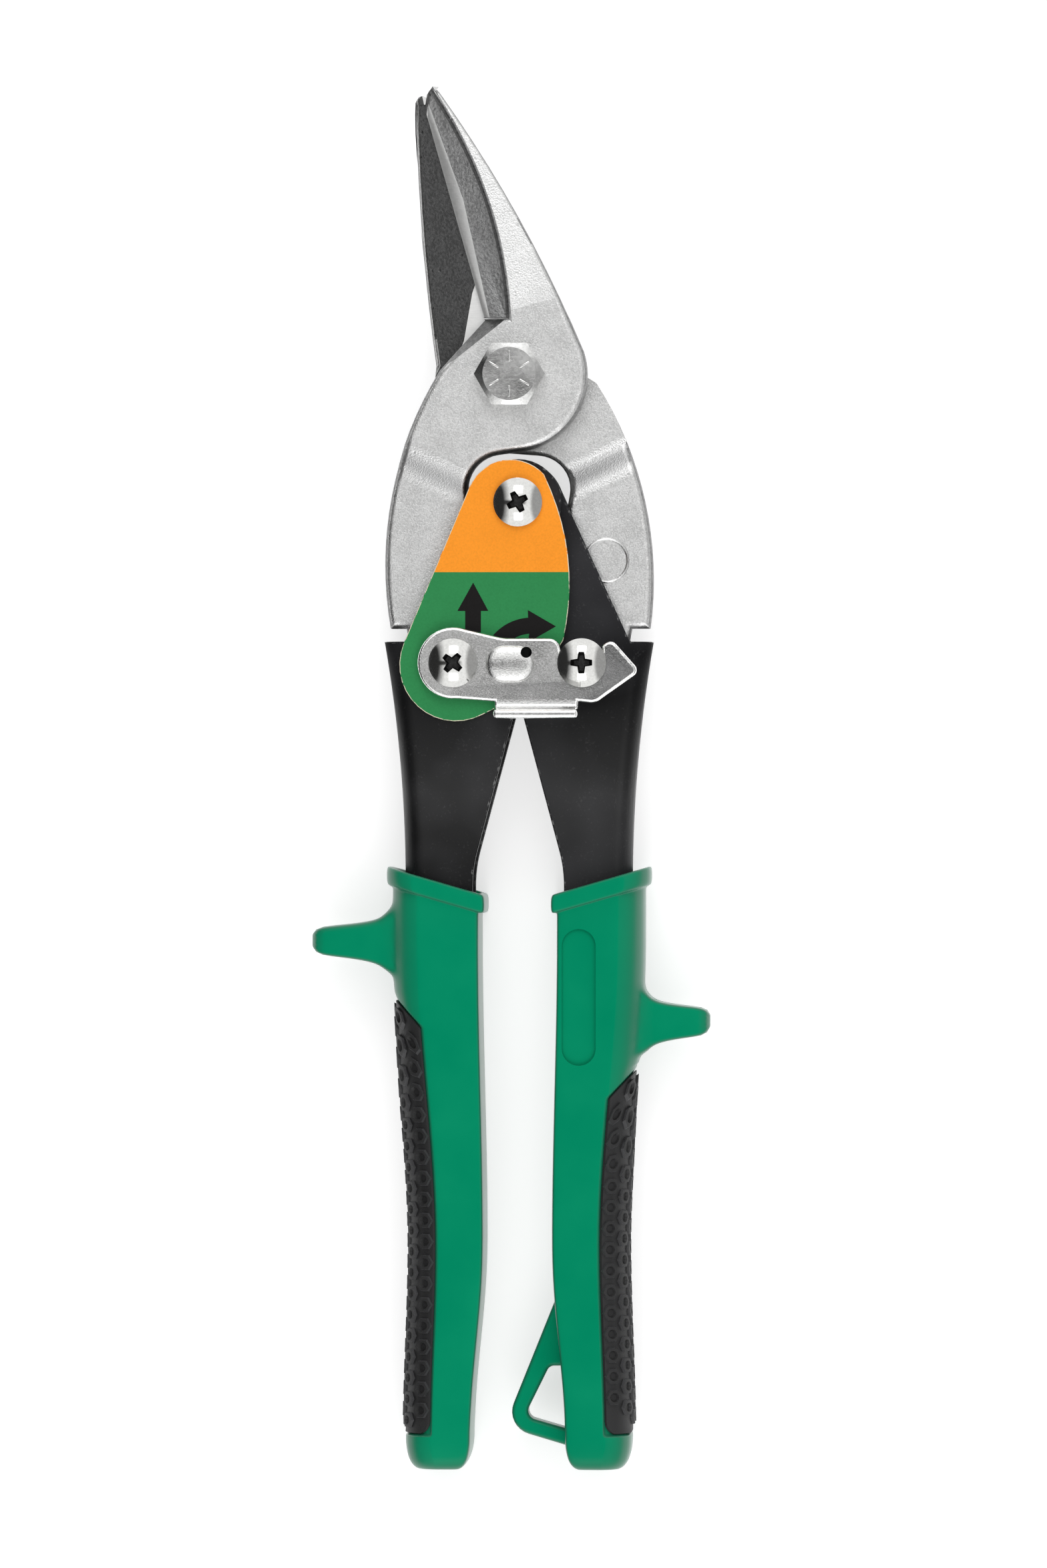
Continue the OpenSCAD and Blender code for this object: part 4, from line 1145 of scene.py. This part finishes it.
HAND = {"left": -1, "right": 1}
STOP_DROP = {"left": 102.1 * MM, "right": 116.6 * MM}
STOP_REACH = {"left": HANDLE_PIVOT.x - CAD_BOX[0].x, "right": CAD_BOX[1].x - HANDLE_PIVOT.x}
STOP_ROOT, STOP_DEPTH, STOP_SINK = 6.4 * MM, 6.2 * MM, 2.5 * MM
STOP_ABOVE, PAD_ABOVE = 6 * MM, 1.5 * MM
STOP_ROWS, ROWS_BELOW = (-6.2, -4.4, -2.0, 2.0, 4.6, 6.6), (9.0, 11.5)
END_TURNS = (0, 35, 60, 78, 90)
# Share of a thumb stop's length, half its height, half its depth and its drift down, in millimetres
STOP_STEPS = ((0.08, 5.3, 5.5, 0.2), (0.19, 4.2, 5.1, 0.1), (0.44, 3.55, 4.7, 0.0), (0.74, 3.05, 4.3, 0.0),
              (0.89, 2.75, 3.9, 0.0), (0.98, 2.2, 3.2, 0.0), (1.03, 1.2, 1.9, 0.0))
PAD_DROP = {"left": 117.6 * MM, "right": 130.4 * MM}
PAD_END = END_DROP - 6.4 * MM
PAD_ROWS = 12
PAD_TILT = 1.05
TILT_ABOVE, TILT_BELOW = 7 * MM, 16 * MM


def along_grip(drop, values):
    """Runs a size from below the collar to the waist and on to the end of a grip."""
    length = END_DROP - COLLAR_DROP
    if drop < WAIST_DROP:
        into = (drop - COLLAR_DROP - NARROW_START * length) / (NARROW_RUN * length)
        return mix(values[0], values[1], ease(into))
    return mix(values[1], values[2], ease((drop - WAIST_DROP) / (FLARE_RUN * length)))


def pad_tilt(drop, side):
    """How steeply the rings climb towards the outside near the top of a pad."""
    away = drop - PAD_DROP[side]
    return PAD_TILT * ease(1 + away / TILT_ABOVE if away < 0 else 1 - away / TILT_BELOW)


def section(outer, inner, half, sink):
    """Front half of a grip's section, from the inside parting line to the outside one."""
    size = sizes()
    r = min(size.grip_round, half * DEPTH_LIMIT, (outer - inner) * WIDTH_LIMIT)
    q = min(size.grip_inner_round, half * INNER_LIMIT)
    bulge = INNER_BULGE * q
    middle = (outer - r, half - r)
    seam = math.degrees(math.acos(max(min((r - size.pad_wrap) / r, 1.0), 0.0)))
    points = [(inner - PARTING_RISE, 0.0), (inner, half - q)]
    points += [(inner + bulge, half - bulge), (inner + q, half), (outer - r, half)]
    points += arc(middle, r, seam + SEAM_TURN, seam + SEAM_TURN, 1)[:1]
    points += arc(middle, r - sink, seam - SEAM_TURN, 0, 3)
    return points + [(outer - sink, 0.0)]


def tool_point(u, drop, z, side):
    """A point of a grip in the tool's own frame."""
    return (HANDLE_PIVOT.x + HAND[side] * u, JAW_PIVOT.y - drop, MID_Z + z)


def ring_at(side, drop, lip=0.0, sink=0.0, inset=0.0):
    """One ring of points round a grip."""
    size = sizes()
    outer = along_grip(drop, BODY_OUTER) + lip - inset
    inner = along_grip(drop, BODY_INNER) - lip + inset
    below = drop - COLLAR_DROP - size.collar_height
    half = HALF_DEPTH - inset - (0.0 if lip else size.collar_step * (1 - ease(below / STEP_FADE)))
    front = section(outer, inner, half, sink)
    slant = COLLAR_SLANT * (1 - ease(below / SLANT_FADE))
    tilt = pad_tilt(drop, side)
    middle = (BODY_OUTER[0] + BODY_INNER[0]) / 2
    edge = outer - size.pad_wrap
    ring = []
    for u, z in front + [(u, -z) for u, z in reversed(front[1:-1])]:
        rise = slant * (u - middle) + tilt * max(0.0, u - edge)
        ring.append(tool_point(u, drop - rise, z, side))
    return ring


def grip_rings(side):
    """Rings of a grip, from the bottom of its pocket over the collar and down to its end."""
    size = sizes()
    top, low = COLLAR_DROP, COLLAR_DROP + size.collar_height
    wall, lip, soft, sink = size.collar_wall, size.collar_lip, EDGE_SOFT, size.pad_sink
    stop, pad = STOP_DROP[side], PAD_DROP[side]
    rows = [(top + POCKET_DEPTH, lip, 0, wall), (top + soft, lip, 0, wall), (top, lip, 0, wall - soft)]
    rows += [(top, lip, 0, soft), (top + soft, lip), (low - soft, lip), (low, lip, 0, soft)]
    drops = [low + 0.1 * MM, low + 0.8 * MM]
    drops += [d for d in (low + k * FRONT_PITCH for k in range(1, 8)) if d < stop - STOP_ABOVE]
    drops += [stop + k * MM for k in STOP_ROWS]
    drops += [d for d in (stop + k * MM for k in ROWS_BELOW) if d < pad - PAD_ABOVE]
    rows += [(d,) for d in drops + [pad - 2 * SEAM, pad - SEAM]]
    drops = [pad + SEAM, pad + 2 * SEAM] + [mix(pad, PAD_END, k / PAD_ROWS) for k in range(1, PAD_ROWS)]
    rows += [(d, 0, sink) for d in drops + [PAD_END - 2 * SEAM, PAD_END - SEAM]]
    rows += [(PAD_END + SEAM,), (PAD_END + 2 * SEAM,)]
    for w in (math.radians(a) for a in END_TURNS):
        rows.append((END_DROP - END_FALL * (1 - math.sin(w)), 0, 0, END_INSET * (1 - math.cos(w))))
    return [ring_at(side, *row) for row in rows]


def draw_thumb_stop(bm, side):
    """Draws a grip's thumb stop out of the rows of faces beside it."""
    stop = STOP_DROP[side]
    outer = along_grip(stop, BODY_OUTER)
    chosen = []
    for face in bm.faces:
        middle = face.calc_center_median()
        u = (middle.x - HANDLE_PIVOT.x) * HAND[side]
        near = abs(JAW_PIVOT.y - middle.y - stop) < STOP_ROOT and abs(middle.z - MID_Z) < STOP_DEPTH
        if near and u > outer - STOP_SINK:
            chosen.append(face)
    for share, half_y, half_z, drift in STOP_STEPS:
        verts, faces = draw_out(bm, chosen)
        bmesh.ops.delete(bm, geom=[f for f in chosen if f.is_valid], context="FACES_ONLY")
        chosen = faces
        tall = max(abs(JAW_PIVOT.y - v.co.y - stop) for v in verts)
        thick = max(abs(v.co.z - MID_Z) for v in verts)
        u = mix(outer, STOP_REACH[side], share)
        for v in verts:
            across = (JAW_PIVOT.y - v.co.y - stop) / tall
            deep = (v.co.z - MID_Z) / thick
            v.co = tool_point(u, stop + (across * half_y + drift) * MM, deep * half_z * MM, side)
    outward(bm)


def long_recess():
    """Cutter for the shallow recess on the front of the right grip."""
    inner, outer, top, low = 8.0, 14.1, -100.0, -124.6
    r = (outer - inner) / 2 - 0.01
    corners = [(inner, low, r), (outer, low, r), (outer, top, r), (inner, top, r)]
    front = MID_Z + HALF_DEPTH
    middle = Vector((HANDLE_PIVOT.x, JAW_PIVOT.y))
    return prism(placed(filleted(corners, 10), middle), front - sizes().recess_sink, front + MM)


def hang_loop():
    """Strap with a triangular hole, whose two ends run into the right grip."""
    corners = [(11.5, -158.5, 0), (-1.2, -190.1, 4.2), (11.5, -193.9, 0), (11.5, -190.8, 0)]
    corners += [(2.5, -188.2, 1.6), (7.0, -179.1, 1.4), (11.5, -179.1, 0)]
    half, edge = 3.0 * MM, 0.9 * MM
    bm = prism(placed(filleted(corners, 8), JAW_PIVOT), MID_Z - half, MID_Z + half)
    round_edges(bm, sharp_edges(bm, 50), edge, 4)
    return bm


class SNIPS_OT_grips(bpy.types.Operator):
    """Moulded grips with collars, thumb stops, a long recess and a hang loop"""

    bl_idname = "snips.grips"
    bl_label = "Grips"

    def execute(self, context):
        for side in SIDES:
            node = side + "_grip"
            bm = loft(grip_rings(side))
            draw_thumb_stop(bm, side)
            bm = through(bm, "SUBSURF", levels=2, render_levels=2)
            if side == "right":
                bm = combined(bm, long_recess())
            piece("moulded_" + node, bm, node, [green_plastic()], smooth=45)
        piece("hang_loop", hang_loop(), "right_grip", [green_plastic()], replace=False)
        return {"FINISHED"}


# Rubber pads: laid out flat with s across, drop down the tool and lift off the grip, then wrapped round it

PAD_GAP, PAD_SIDE_GAP, PAD_END_GAP = 0.15 * MM, 0.1 * MM, 0.05 * MM
CORNER_TURNS = (20, 40, 55, 68)
NUB_CORNERS, NUB_COLUMNS = 12, 3
NUB_SINK, NUB_DRAFT, NUB_HIGHLIGHT_SHARE = 0.1 * MM, 0.35 * MM, 0.9
DIMPLE_RIM, DIMPLE_FLOOR, DIMPLE_LIFT = 0.85 * MM, 0.6 * MM, 0.05 * MM
# Shares of the pitch before the first hexagon of a column, between neighbours and after the last one
NUB_FIRST, NUB_STAGGER, NUB_LAST, NUB_LAST_OUTER = 0.65, 0.5, 0.6, 0.85


def pad_half():
    """Half of a pad's width, from the middle of the outside to its seam."""
    r = sizes().grip_round
    return HALF_DEPTH - r + r * math.acos((r - sizes().pad_wrap) / r)


def wrapped(s, drop, lift, side):
    """A point of the flat pad, laid on the outside of a grip."""
    r = sizes().grip_round
    flat = HALF_DEPTH - r
    outer = along_grip(drop, BODY_OUTER)
    bend = max(0.0, abs(s) - flat) / r
    u = outer - r + (r + lift) * math.cos(bend)
    z = min(abs(s), flat) + (r + lift) * math.sin(bend)
    rise = pad_tilt(drop, side) * max(0.0, u - outer + sizes().pad_wrap)
    return tool_point(u, drop - rise, math.copysign(z, s), side)


def pad_skin(top, low):
    """The plain sheet of a flat pad, with soft edges and round lower corners."""
    soft, sink, corner, count = 0.3 * MM, sizes().pad_sink, 2.4 * MM, 20
    half = pad_half() - PAD_SIDE_GAP

    def ring(drop, lift=0.0):
        into = max(0.0, drop - low + corner)
        width = half - corner + math.sqrt(max(0.0, corner * corner - into * into))
        across = [mix(soft - width, width - soft, k / count) for k in range(count + 1)]
        front = [(s, drop, lift) for s in across]
        back = [(s, drop, -sink) for s in reversed(across)]
        return [(-width, drop, lift - soft)] + front + [(width, drop, lift - soft)] + back

    rings = [ring(top, -soft), ring(top + soft)]
    rings += [ring(mix(top + soft, low - corner, k / count)) for k in range(1, count + 1)]
    rings += [ring(low - corner + corner * math.sin(math.radians(w))) for w in CORNER_TURNS]
    return loft(rings + [ring(low - PAD_END_GAP, -soft)])


def pad_nub():
    """One flat hexagon with a round dimple, whose rim is marked for a painted highlight."""
    size = sizes()
    turns = full_turn(NUB_CORNERS)
    rows = [([hex_reach(w, flats) for w in turns], lift)
            for flats, lift in ((size.nub_flats, -NUB_SINK), (size.nub_flats - NUB_DRAFT, size.nub_height))]
    rows += [([radius] * NUB_CORNERS, lift)
             for radius, lift in ((DIMPLE_RIM, size.nub_height), (DIMPLE_FLOOR, DIMPLE_LIFT))]
    bm = loft([[(r * math.cos(w), r * math.sin(w), lift) for r, w in zip(reaches, turns)]
               for reaches, lift in rows])
    # The rim of the hexagon is marked for a painted highlight
    worn = face_mark(bm, "worn")
    for face in bm.faces:
        face[worn] = float(face.calc_center_median().xy.length > size.nub_flats / 2 * NUB_HIGHLIGHT_SHARE)
    return bm


def pad_with_nubs(side):
    size = sizes()
    top, low = PAD_DROP[side] + PAD_GAP, PAD_END - PAD_GAP
    bm = pad_nub()
    pattern = everything(bm)
    spacing = size.nub_pitch * math.cos(HALF_SECTOR)
    for column in range(-NUB_COLUMNS, NUB_COLUMNS + 1):
        drop = top + size.nub_pitch * (NUB_FIRST + NUB_STAGGER * (column % 2))
        last = low - size.nub_pitch * (NUB_LAST_OUTER if abs(column) == NUB_COLUMNS else NUB_LAST)
        while drop < last:
            fresh = only(VERT, bmesh.ops.duplicate(bm, geom=pattern)["geom"])
            bmesh.ops.translate(bm, verts=fresh, vec=(column * spacing, drop, 0.0))
            drop += size.nub_pitch
    bmesh.ops.delete(bm, geom=only(VERT, pattern), context="VERTS")
    add(bm, pad_skin(top, low))
    for vert in bm.verts:
        vert.co = wrapped(*vert.co, side)
    return outward(bm)


class SNIPS_OT_pads(bpy.types.Operator):
    """Rubber pads with rows of raised hexagons"""

    bl_idname = "snips.pads"
    bl_label = "Grip pads"

    def execute(self, context):
        for side in SIDES:
            node = side + "_grip_pad"
            piece("rubber_" + node, pad_with_nubs(side), node, [black_rubber()], smooth=30)
        return {"FINISHED"}


# Label: drawn in millimetres from the jaw pivot, with the latch's hole from the left pivot

COLOUR_SPLIT = -35.7
INK_RISE = 0.03 * MM
LATCH_HOLE, LATCH_BORE, LABEL_BORE = (13.2, 1.9), 1.0 * MM, 1.05 * MM


def latch_hole():
    """Middle of the small hole in the latch, which goes on through the label."""
    return beside(LEFT_PIVOT, *LATCH_HOLE)


def direction_arrows():
    """Two plain printed arrows."""
    ahead = [(-6.56, -37.6), (-9.4, -42.7), (-8.0, -42.7), (-8.0, -47.5), (-5.16, -47.5), (-5.16, -42.7),
             (-3.83, -42.7)]
    middle = (4.0, -53.1)
    aside = arc(middle, 9.2, 148, 94, 12) + [(3.3, -42.55), (8.38, -45.5), (3.3, -48.4)]
    aside += arc(middle, 6.3, 94, 148, 12)
    ink = bmesh.new()
    for outline in (ahead, aside):
        add(ink, prism(placed(outline, JAW_PIVOT), LABEL_TOP - INK_RISE, LABEL_TOP + INK_RISE))
    return ink


class SNIPS_OT_label(bpy.types.Operator):
    """Printed label plate in two colours, with plain arrows"""

    bl_idname = "snips.label"
    bl_label = "Label plate"

    def execute(self, context):
        bores = [(HANDLE_PIVOT, SCREW_HOLE), (LEFT_PIVOT, SCREW_HOLE)]
        bm = plugged(node_copy("label_plate"), bores)
        bm = rounded(bm, [(sharp_edges(bm, 60), sizes().label_edge)], 2)
        bm = bored(bm, bores + [(latch_hole(), LABEL_BORE)])
        split = JAW_PIVOT.y + COLOUR_SPLIT * MM
        cut_across(bm, (0, split, 0), (0, 1, 0))
        for face in bm.faces:
            face.material_index = int(face.calc_center_median().y < split)
        piece("printed_label", bm, "label_plate", [printed("label_orange"), printed("label_green")])
        piece("direction_arrows", direction_arrows(), "label_plate", [printed("label_ink")], replace=False)
        return {"FINISHED"}


# Latch: drawn in millimetres from its pivot, with the hook to the right

# Where the painted shade towards the hook starts and the length over which it grows
HOOK_START, HOOK_LENGTH = 18 * MM, 9 * MM
LATCH_SHEET, TAB_BEND, TAB_STEPS = 1.6 * MM, 1.4 * MM, 6
BUMP_PLACE = (10.3, -0.2)
LATCH_TOP = LATCH_LOW + LATCH_SHEET


def latch_outline():
    corners = [(x, y, 0) for x, y in arc((0.0, 0.0), 6.5, 70, 275, 28)]
    corners += [(7.4, -7.0, 0), (22.6, -7.0, 0), (25.6, -7.3, 2.5), (33.7, -1.5, 1.3), (28.5, 4.4, 1.5),
                (26.8, 3.2, 0.5), (26.8, -2.6, 1.6), (20.4, -2.6, 1.6), (18.9, 4.5, 2.0), (9.0, 4.5, 9.0)]
    return placed(filleted(corners, 6), LEFT_PIVOT)


def fold_tab(bm, high):
    """Folds the thumb tab up from the latch's lower edge."""
    wall = next(f for f in bm.faces if f.normal.y < -0.99 and f.calc_area() > 10 * LATCH_SHEET * MM)
    geom = [wall] + wall.edges[:] + wall.verts[:]
    bend = LATCH_TOP + TAB_BEND
    made = bmesh.ops.spin(bm, geom=geom, cent=(0, wall.calc_center_median().y, bend), axis=(1, 0, 0),
                          angle=-math.pi / 2, steps=TAB_STEPS)
    end = only(FACE, made["geom_last"])
    rise = draw_out(bm, end)[0]
    bmesh.ops.delete(bm, geom=[f for f in [wall] + end if f.is_valid], context="FACES_ONLY")
    bmesh.ops.translate(bm, verts=rise, vec=(0, 0, high - bend))
    outward(bm)


def latch_bump():
    """Raised dome with round ends."""
    half, stretch, pull, rise = 3.3 * MM, 1.1 * MM, 4, 1.0 * MM
    foot = LATCH_TOP - rise / 2
    turns = [math.radians(w) for w in range(80, 0, -10)]
    dome = [(half * math.sin(w), LATCH_TOP + rise * math.cos(w) ** 0.8) for w in turns]
    profile = [(0.0, foot), (half, foot), (half, LATCH_TOP)] + dome + [(0.0, LATCH_TOP + rise)]
    bm = turned(profile, (0, 0), BORE_STEPS)
    place = beside(LEFT_PIVOT, *BUMP_PLACE)
    for vert in bm.verts:
        vert.co.x += place.x + max(-stretch, min(stretch, vert.co.x * pull))
        vert.co.y += place.y
    return bm


class SNIPS_OT_latch(bpy.types.Operator):
    """Stamped latch with a folded thumb tab, a raised bump, a small hole and painted shade darkening the hook
    """

    bl_idname = "snips.latch"
    bl_label = "Latch"

    def execute(self, context):
        bm = prism(latch_outline(), LATCH_LOW, LATCH_TOP)
        fold_tab(bm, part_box("latch")[1].z)
        round_edges(bm, sharp_edges(bm, 40), sizes().latch_edge)
        bm = combined(bm, latch_bump(), "UNION")
        bm = bored(bm, [(LEFT_PIVOT, SCREW_HOLE), (latch_hole(), LATCH_BORE)])
        # The slope mask paints shade that darkens the latch towards its hook
        slope = bm.verts.layers.float.new("slope")
        for vert in bm.verts:
            vert[slope] = ease((vert.co.x - LEFT_PIVOT.x - HOOK_START) / HOOK_LENGTH)
        piece("stamped_latch", bm, "latch", [metal("satin_zinc")], smooth=32)
        return {"FINISHED"}


# Bearings and spring

WASHER_NEAR, WASHER_AWAY, WASHER_EDGE = 2.85 * MM, 5.0 * MM, 0.2 * MM
RING_EDGES = {"left_pivot_bush": 0.25 * MM, "right_pivot_bush": 0.25 * MM, "spring_bush": 0.25 * MM,
              "latch_spring_washer": 0.08 * MM, "latch_spacer": 0.08 * MM}
WIRE_RADIUS, WIRE_SIDES = 0.6 * MM, 14
COIL_STEPS, COIL_TURNS = 80, 2.5


class SNIPS_OT_bearings(bpy.types.Operator):
    """Bushes, washers and the spacer inside the joints"""

    bl_idname = "snips.bearings"
    bl_label = "Bearings"

    def execute(self, context):
        for node, edge in RING_EDGES.items():
            finish = metal("satin_zinc" if node.startswith("latch") else "turned_steel")
            piece("turned_" + node, ring_turned(node, SCREW_HOLE, edge), node, [finish])
        node = "left_tang_washers"
        pair = ring_turned(node, BUSH_HOLE, WASHER_EDGE, (MID_Z + WASHER_NEAR, MID_Z + WASHER_AWAY))
        add(pair, ring_turned(node, BUSH_HOLE, WASHER_EDGE, (MID_Z - WASHER_AWAY, MID_Z - WASHER_NEAR)))
        piece("turned_" + node, pair, node, [metal("turned_steel")])
        return {"FINISHED"}


def spring_route():
    """Middle line of the spring's wire: a leg, the coil and the other leg."""
    radius, lean, leg, rise = 4.2 * MM, 0.6 * MM, 17.0 * MM, 2.2 * MM
    route = [Vector((-radius - lean, -leg, -rise))]
    for k in range(COIL_STEPS + 1):
        w = math.pi - math.tau * COIL_TURNS * k / COIL_STEPS
        route.append(Vector((radius * math.cos(w), radius * math.sin(w), mix(-rise, rise, k / COIL_STEPS))))
    route.append(Vector((radius + lean, -leg, rise)))
    middle = Vector((HANDLE_PIVOT.x, HANDLE_PIVOT.y, MID_Z))
    return [p + middle for p in route]


def spring_wire():
    """Round wire along the spring's route."""
    route = spring_route()
    turns = full_turn(WIRE_SIDES)
    rings = []
    for k, place in enumerate(route):
        along = (route[min(k + 1, len(route) - 1)] - route[max(k - 1, 0)]).normalized()
        side = along.cross(Vector((0, 0, 1))).normalized()
        up = side.cross(along)
        rings.append([place + WIRE_RADIUS * (side * math.cos(w) + up * math.sin(w)) for w in turns])
    return loft(rings)


class SNIPS_OT_spring(bpy.types.Operator):
    """Round-wire return spring about the handle pivot"""

    bl_idname = "snips.spring"
    bl_label = "Return spring"

    def execute(self, context):
        piece("wire_spring", spring_wire(), "return_spring", [metal("drawn_wire")])
        return {"FINISHED"}


# Stage

FLOOR_GLOW, FLOOR_HALF, FLOOR_ROUGH = 0.6, 2.0, 0.9
# Directions of the sky, from where a zone of light starts to where it is full
RIGHT_ZONE, LEFT_ZONE, GAP_ZONE, GAP_END = (0.6, 0.74), (-0.44, -0.74), (0.07, 0.16), (0.3, 0.5)
BOX_LIGHT, RIGHT_LIGHT, GAP_LIGHT, LEFT_LIGHT = 1.1, 0.42, 0.05, 0.03
LAMP_PLACE, LAMP_SIZE, LAMP_POWER = 0.8, 0.5, 2.0
VIEW_TARGET = Vector((2.2 * MM, -1.3 * MM, MID_Z))
VIEW_LEAN, VIEW_DISTANCE, VIEW_HEIGHT = math.radians(2.5), 1.5, 284.0 * MM
SENSOR_HEIGHT = 36.0


def studio_world(tree):
    """Two soft boxes with a dim gap between them overhead, dim to the right and dark to the left."""
    place = put(tree, "ShaderNodeTexCoord").outputs["Generated"]
    axes = put(tree, "ShaderNodeSeparateXYZ", {0: place}).outputs
    gap = spread(tree, maths(tree, "ABSOLUTE", axes[1]), *GAP_ZONE, 1.0, 0.0)
    gap = maths(tree, "MULTIPLY", gap, spread(tree, axes[0], *GAP_END, 1.0, 0.0))
    zones = ((spread(tree, axes[0], *RIGHT_ZONE), RIGHT_LIGHT), (gap, GAP_LIGHT),
             (spread(tree, axes[0], *LEFT_ZONE), LEFT_LIGHT))
    colour = (BOX_LIGHT, BOX_LIGHT, BOX_LIGHT, 1.0)
    for zone, light in zones:
        colour = blend_colour(tree, zone, colour, (light, light, light, 1.0))
    tree.links.new(colour, tree.nodes["Background"].inputs["Color"])


def pale_floor():
    """Matt floor that looks white, in reflections too, but lights the tool no more than paper would."""
    material, tree, surface = new_material("floor")
    surface["Base Color"].default_value = paint("floor_white")
    surface["Roughness"].default_value = FLOOR_ROUGH
    ray = put(tree, "ShaderNodeLightPath").outputs
    seen = maths(tree, "MAXIMUM", ray["Is Camera Ray"], ray["Is Glossy Ray"])
    seen = maths(tree, "MAXIMUM", seen, ray["Is Transmission Ray"])
    surface["Emission Color"].default_value = (1.0, 1.0, 1.0, 1.0)
    tree.links.new(maths(tree, "MULTIPLY", seen, FLOOR_GLOW), surface["Emission Strength"])
    return material


class SNIPS_OT_stage(bpy.types.Operator):
    """Pale floor, soft studio light and the camera"""

    bl_idname = "snips.stage"
    bl_label = "Stage"

    def execute(self, context):
        scene = context.scene
        bm = bmesh.new()
        bmesh.ops.create_grid(bm, x_segments=1, y_segments=1, size=FLOOR_HALF)
        mesh = mesh_from(bm, "floor")
        mesh.materials.append(pale_floor())
        floor = in_scene("floor", mesh)

        scene.world = bpy.data.worlds.new("studio")
        scene.world.use_nodes = True
        studio_world(scene.world.node_tree)
        for name, y in (("upper_softbox", LAMP_PLACE), ("lower_softbox", -LAMP_PLACE)):
            light = bpy.data.lights.new(name, "AREA")
            light.shape = "RECTANGLE"
            light.size = light.size_y = LAMP_SIZE
            light.energy = LAMP_POWER
            lamp = in_scene(name, light)
            lamp.location = (0.0, y, LAMP_PLACE)
            lamp.rotation_euler = lamp.location.to_track_quat("Z", "Y").to_euler()

        data = bpy.data.cameras.new("camera")
        data.sensor_fit = "VERTICAL"
        data.sensor_height = SENSOR_HEIGHT
        data.lens = SENSOR_HEIGHT * VIEW_DISTANCE / VIEW_HEIGHT
        view = Vector((math.sin(VIEW_LEAN), 0.0, math.cos(VIEW_LEAN)))
        camera = in_scene("camera", data)
        camera.location = VIEW_TARGET + view * VIEW_DISTANCE
        camera.rotation_euler = (0.0, VIEW_LEAN, 0.0)
        scene.camera = camera
        scene.view_settings.view_transform = "Standard"
        return {"FINISHED"}


OPERATORS = (SNIPS_OT_jaws, SNIPS_OT_jaw_pivot, SNIPS_OT_screws, SNIPS_OT_handles, SNIPS_OT_grips,
             SNIPS_OT_pads, SNIPS_OT_label, SNIPS_OT_latch, SNIPS_OT_bearings, SNIPS_OT_spring,
             SNIPS_OT_stage)


class SNIPS_PT_panel(bpy.types.Panel):
    """Lists the pieces of the snips, their sizes and their colours"""

    bl_idname = "SNIPS_PT_panel"
    bl_label = "Aviation snips"
    bl_space_type = "VIEW_3D"
    bl_region_type = "UI"
    bl_category = "Snips"

    def draw(self, context):
        for operator in OPERATORS:
            self.layout.operator(operator.bl_idname)
        for group in (context.scene.snips_sizes, context.scene.snips_colours):
            box = self.layout.box()
            for name in type(group).__annotations__:
                box.prop(group, name)


CLASSES = (SnipsSizes, SnipsColours) + OPERATORS + (SNIPS_PT_panel,)


def register():
    for cls in CLASSES:
        bpy.utils.register_class(cls)
    bpy.types.Scene.snips_sizes = bpy.props.PointerProperty(type=SnipsSizes)
    bpy.types.Scene.snips_colours = bpy.props.PointerProperty(type=SnipsColours)


def unregister():
    del bpy.types.Scene.snips_colours
    del bpy.types.Scene.snips_sizes
    for cls in reversed(CLASSES):
        bpy.utils.unregister_class(cls)


def main():
    register()
    bpy.ops.snips.jaws()
    bpy.ops.snips.jaw_pivot()
    bpy.ops.snips.screws()
    bpy.ops.snips.handles()
    bpy.ops.snips.grips()
    bpy.ops.snips.pads()
    bpy.ops.snips.label()
    bpy.ops.snips.latch()
    bpy.ops.snips.bearings()
    bpy.ops.snips.spring()
    bpy.ops.snips.stage()


if __name__ == "__main__":
    main()
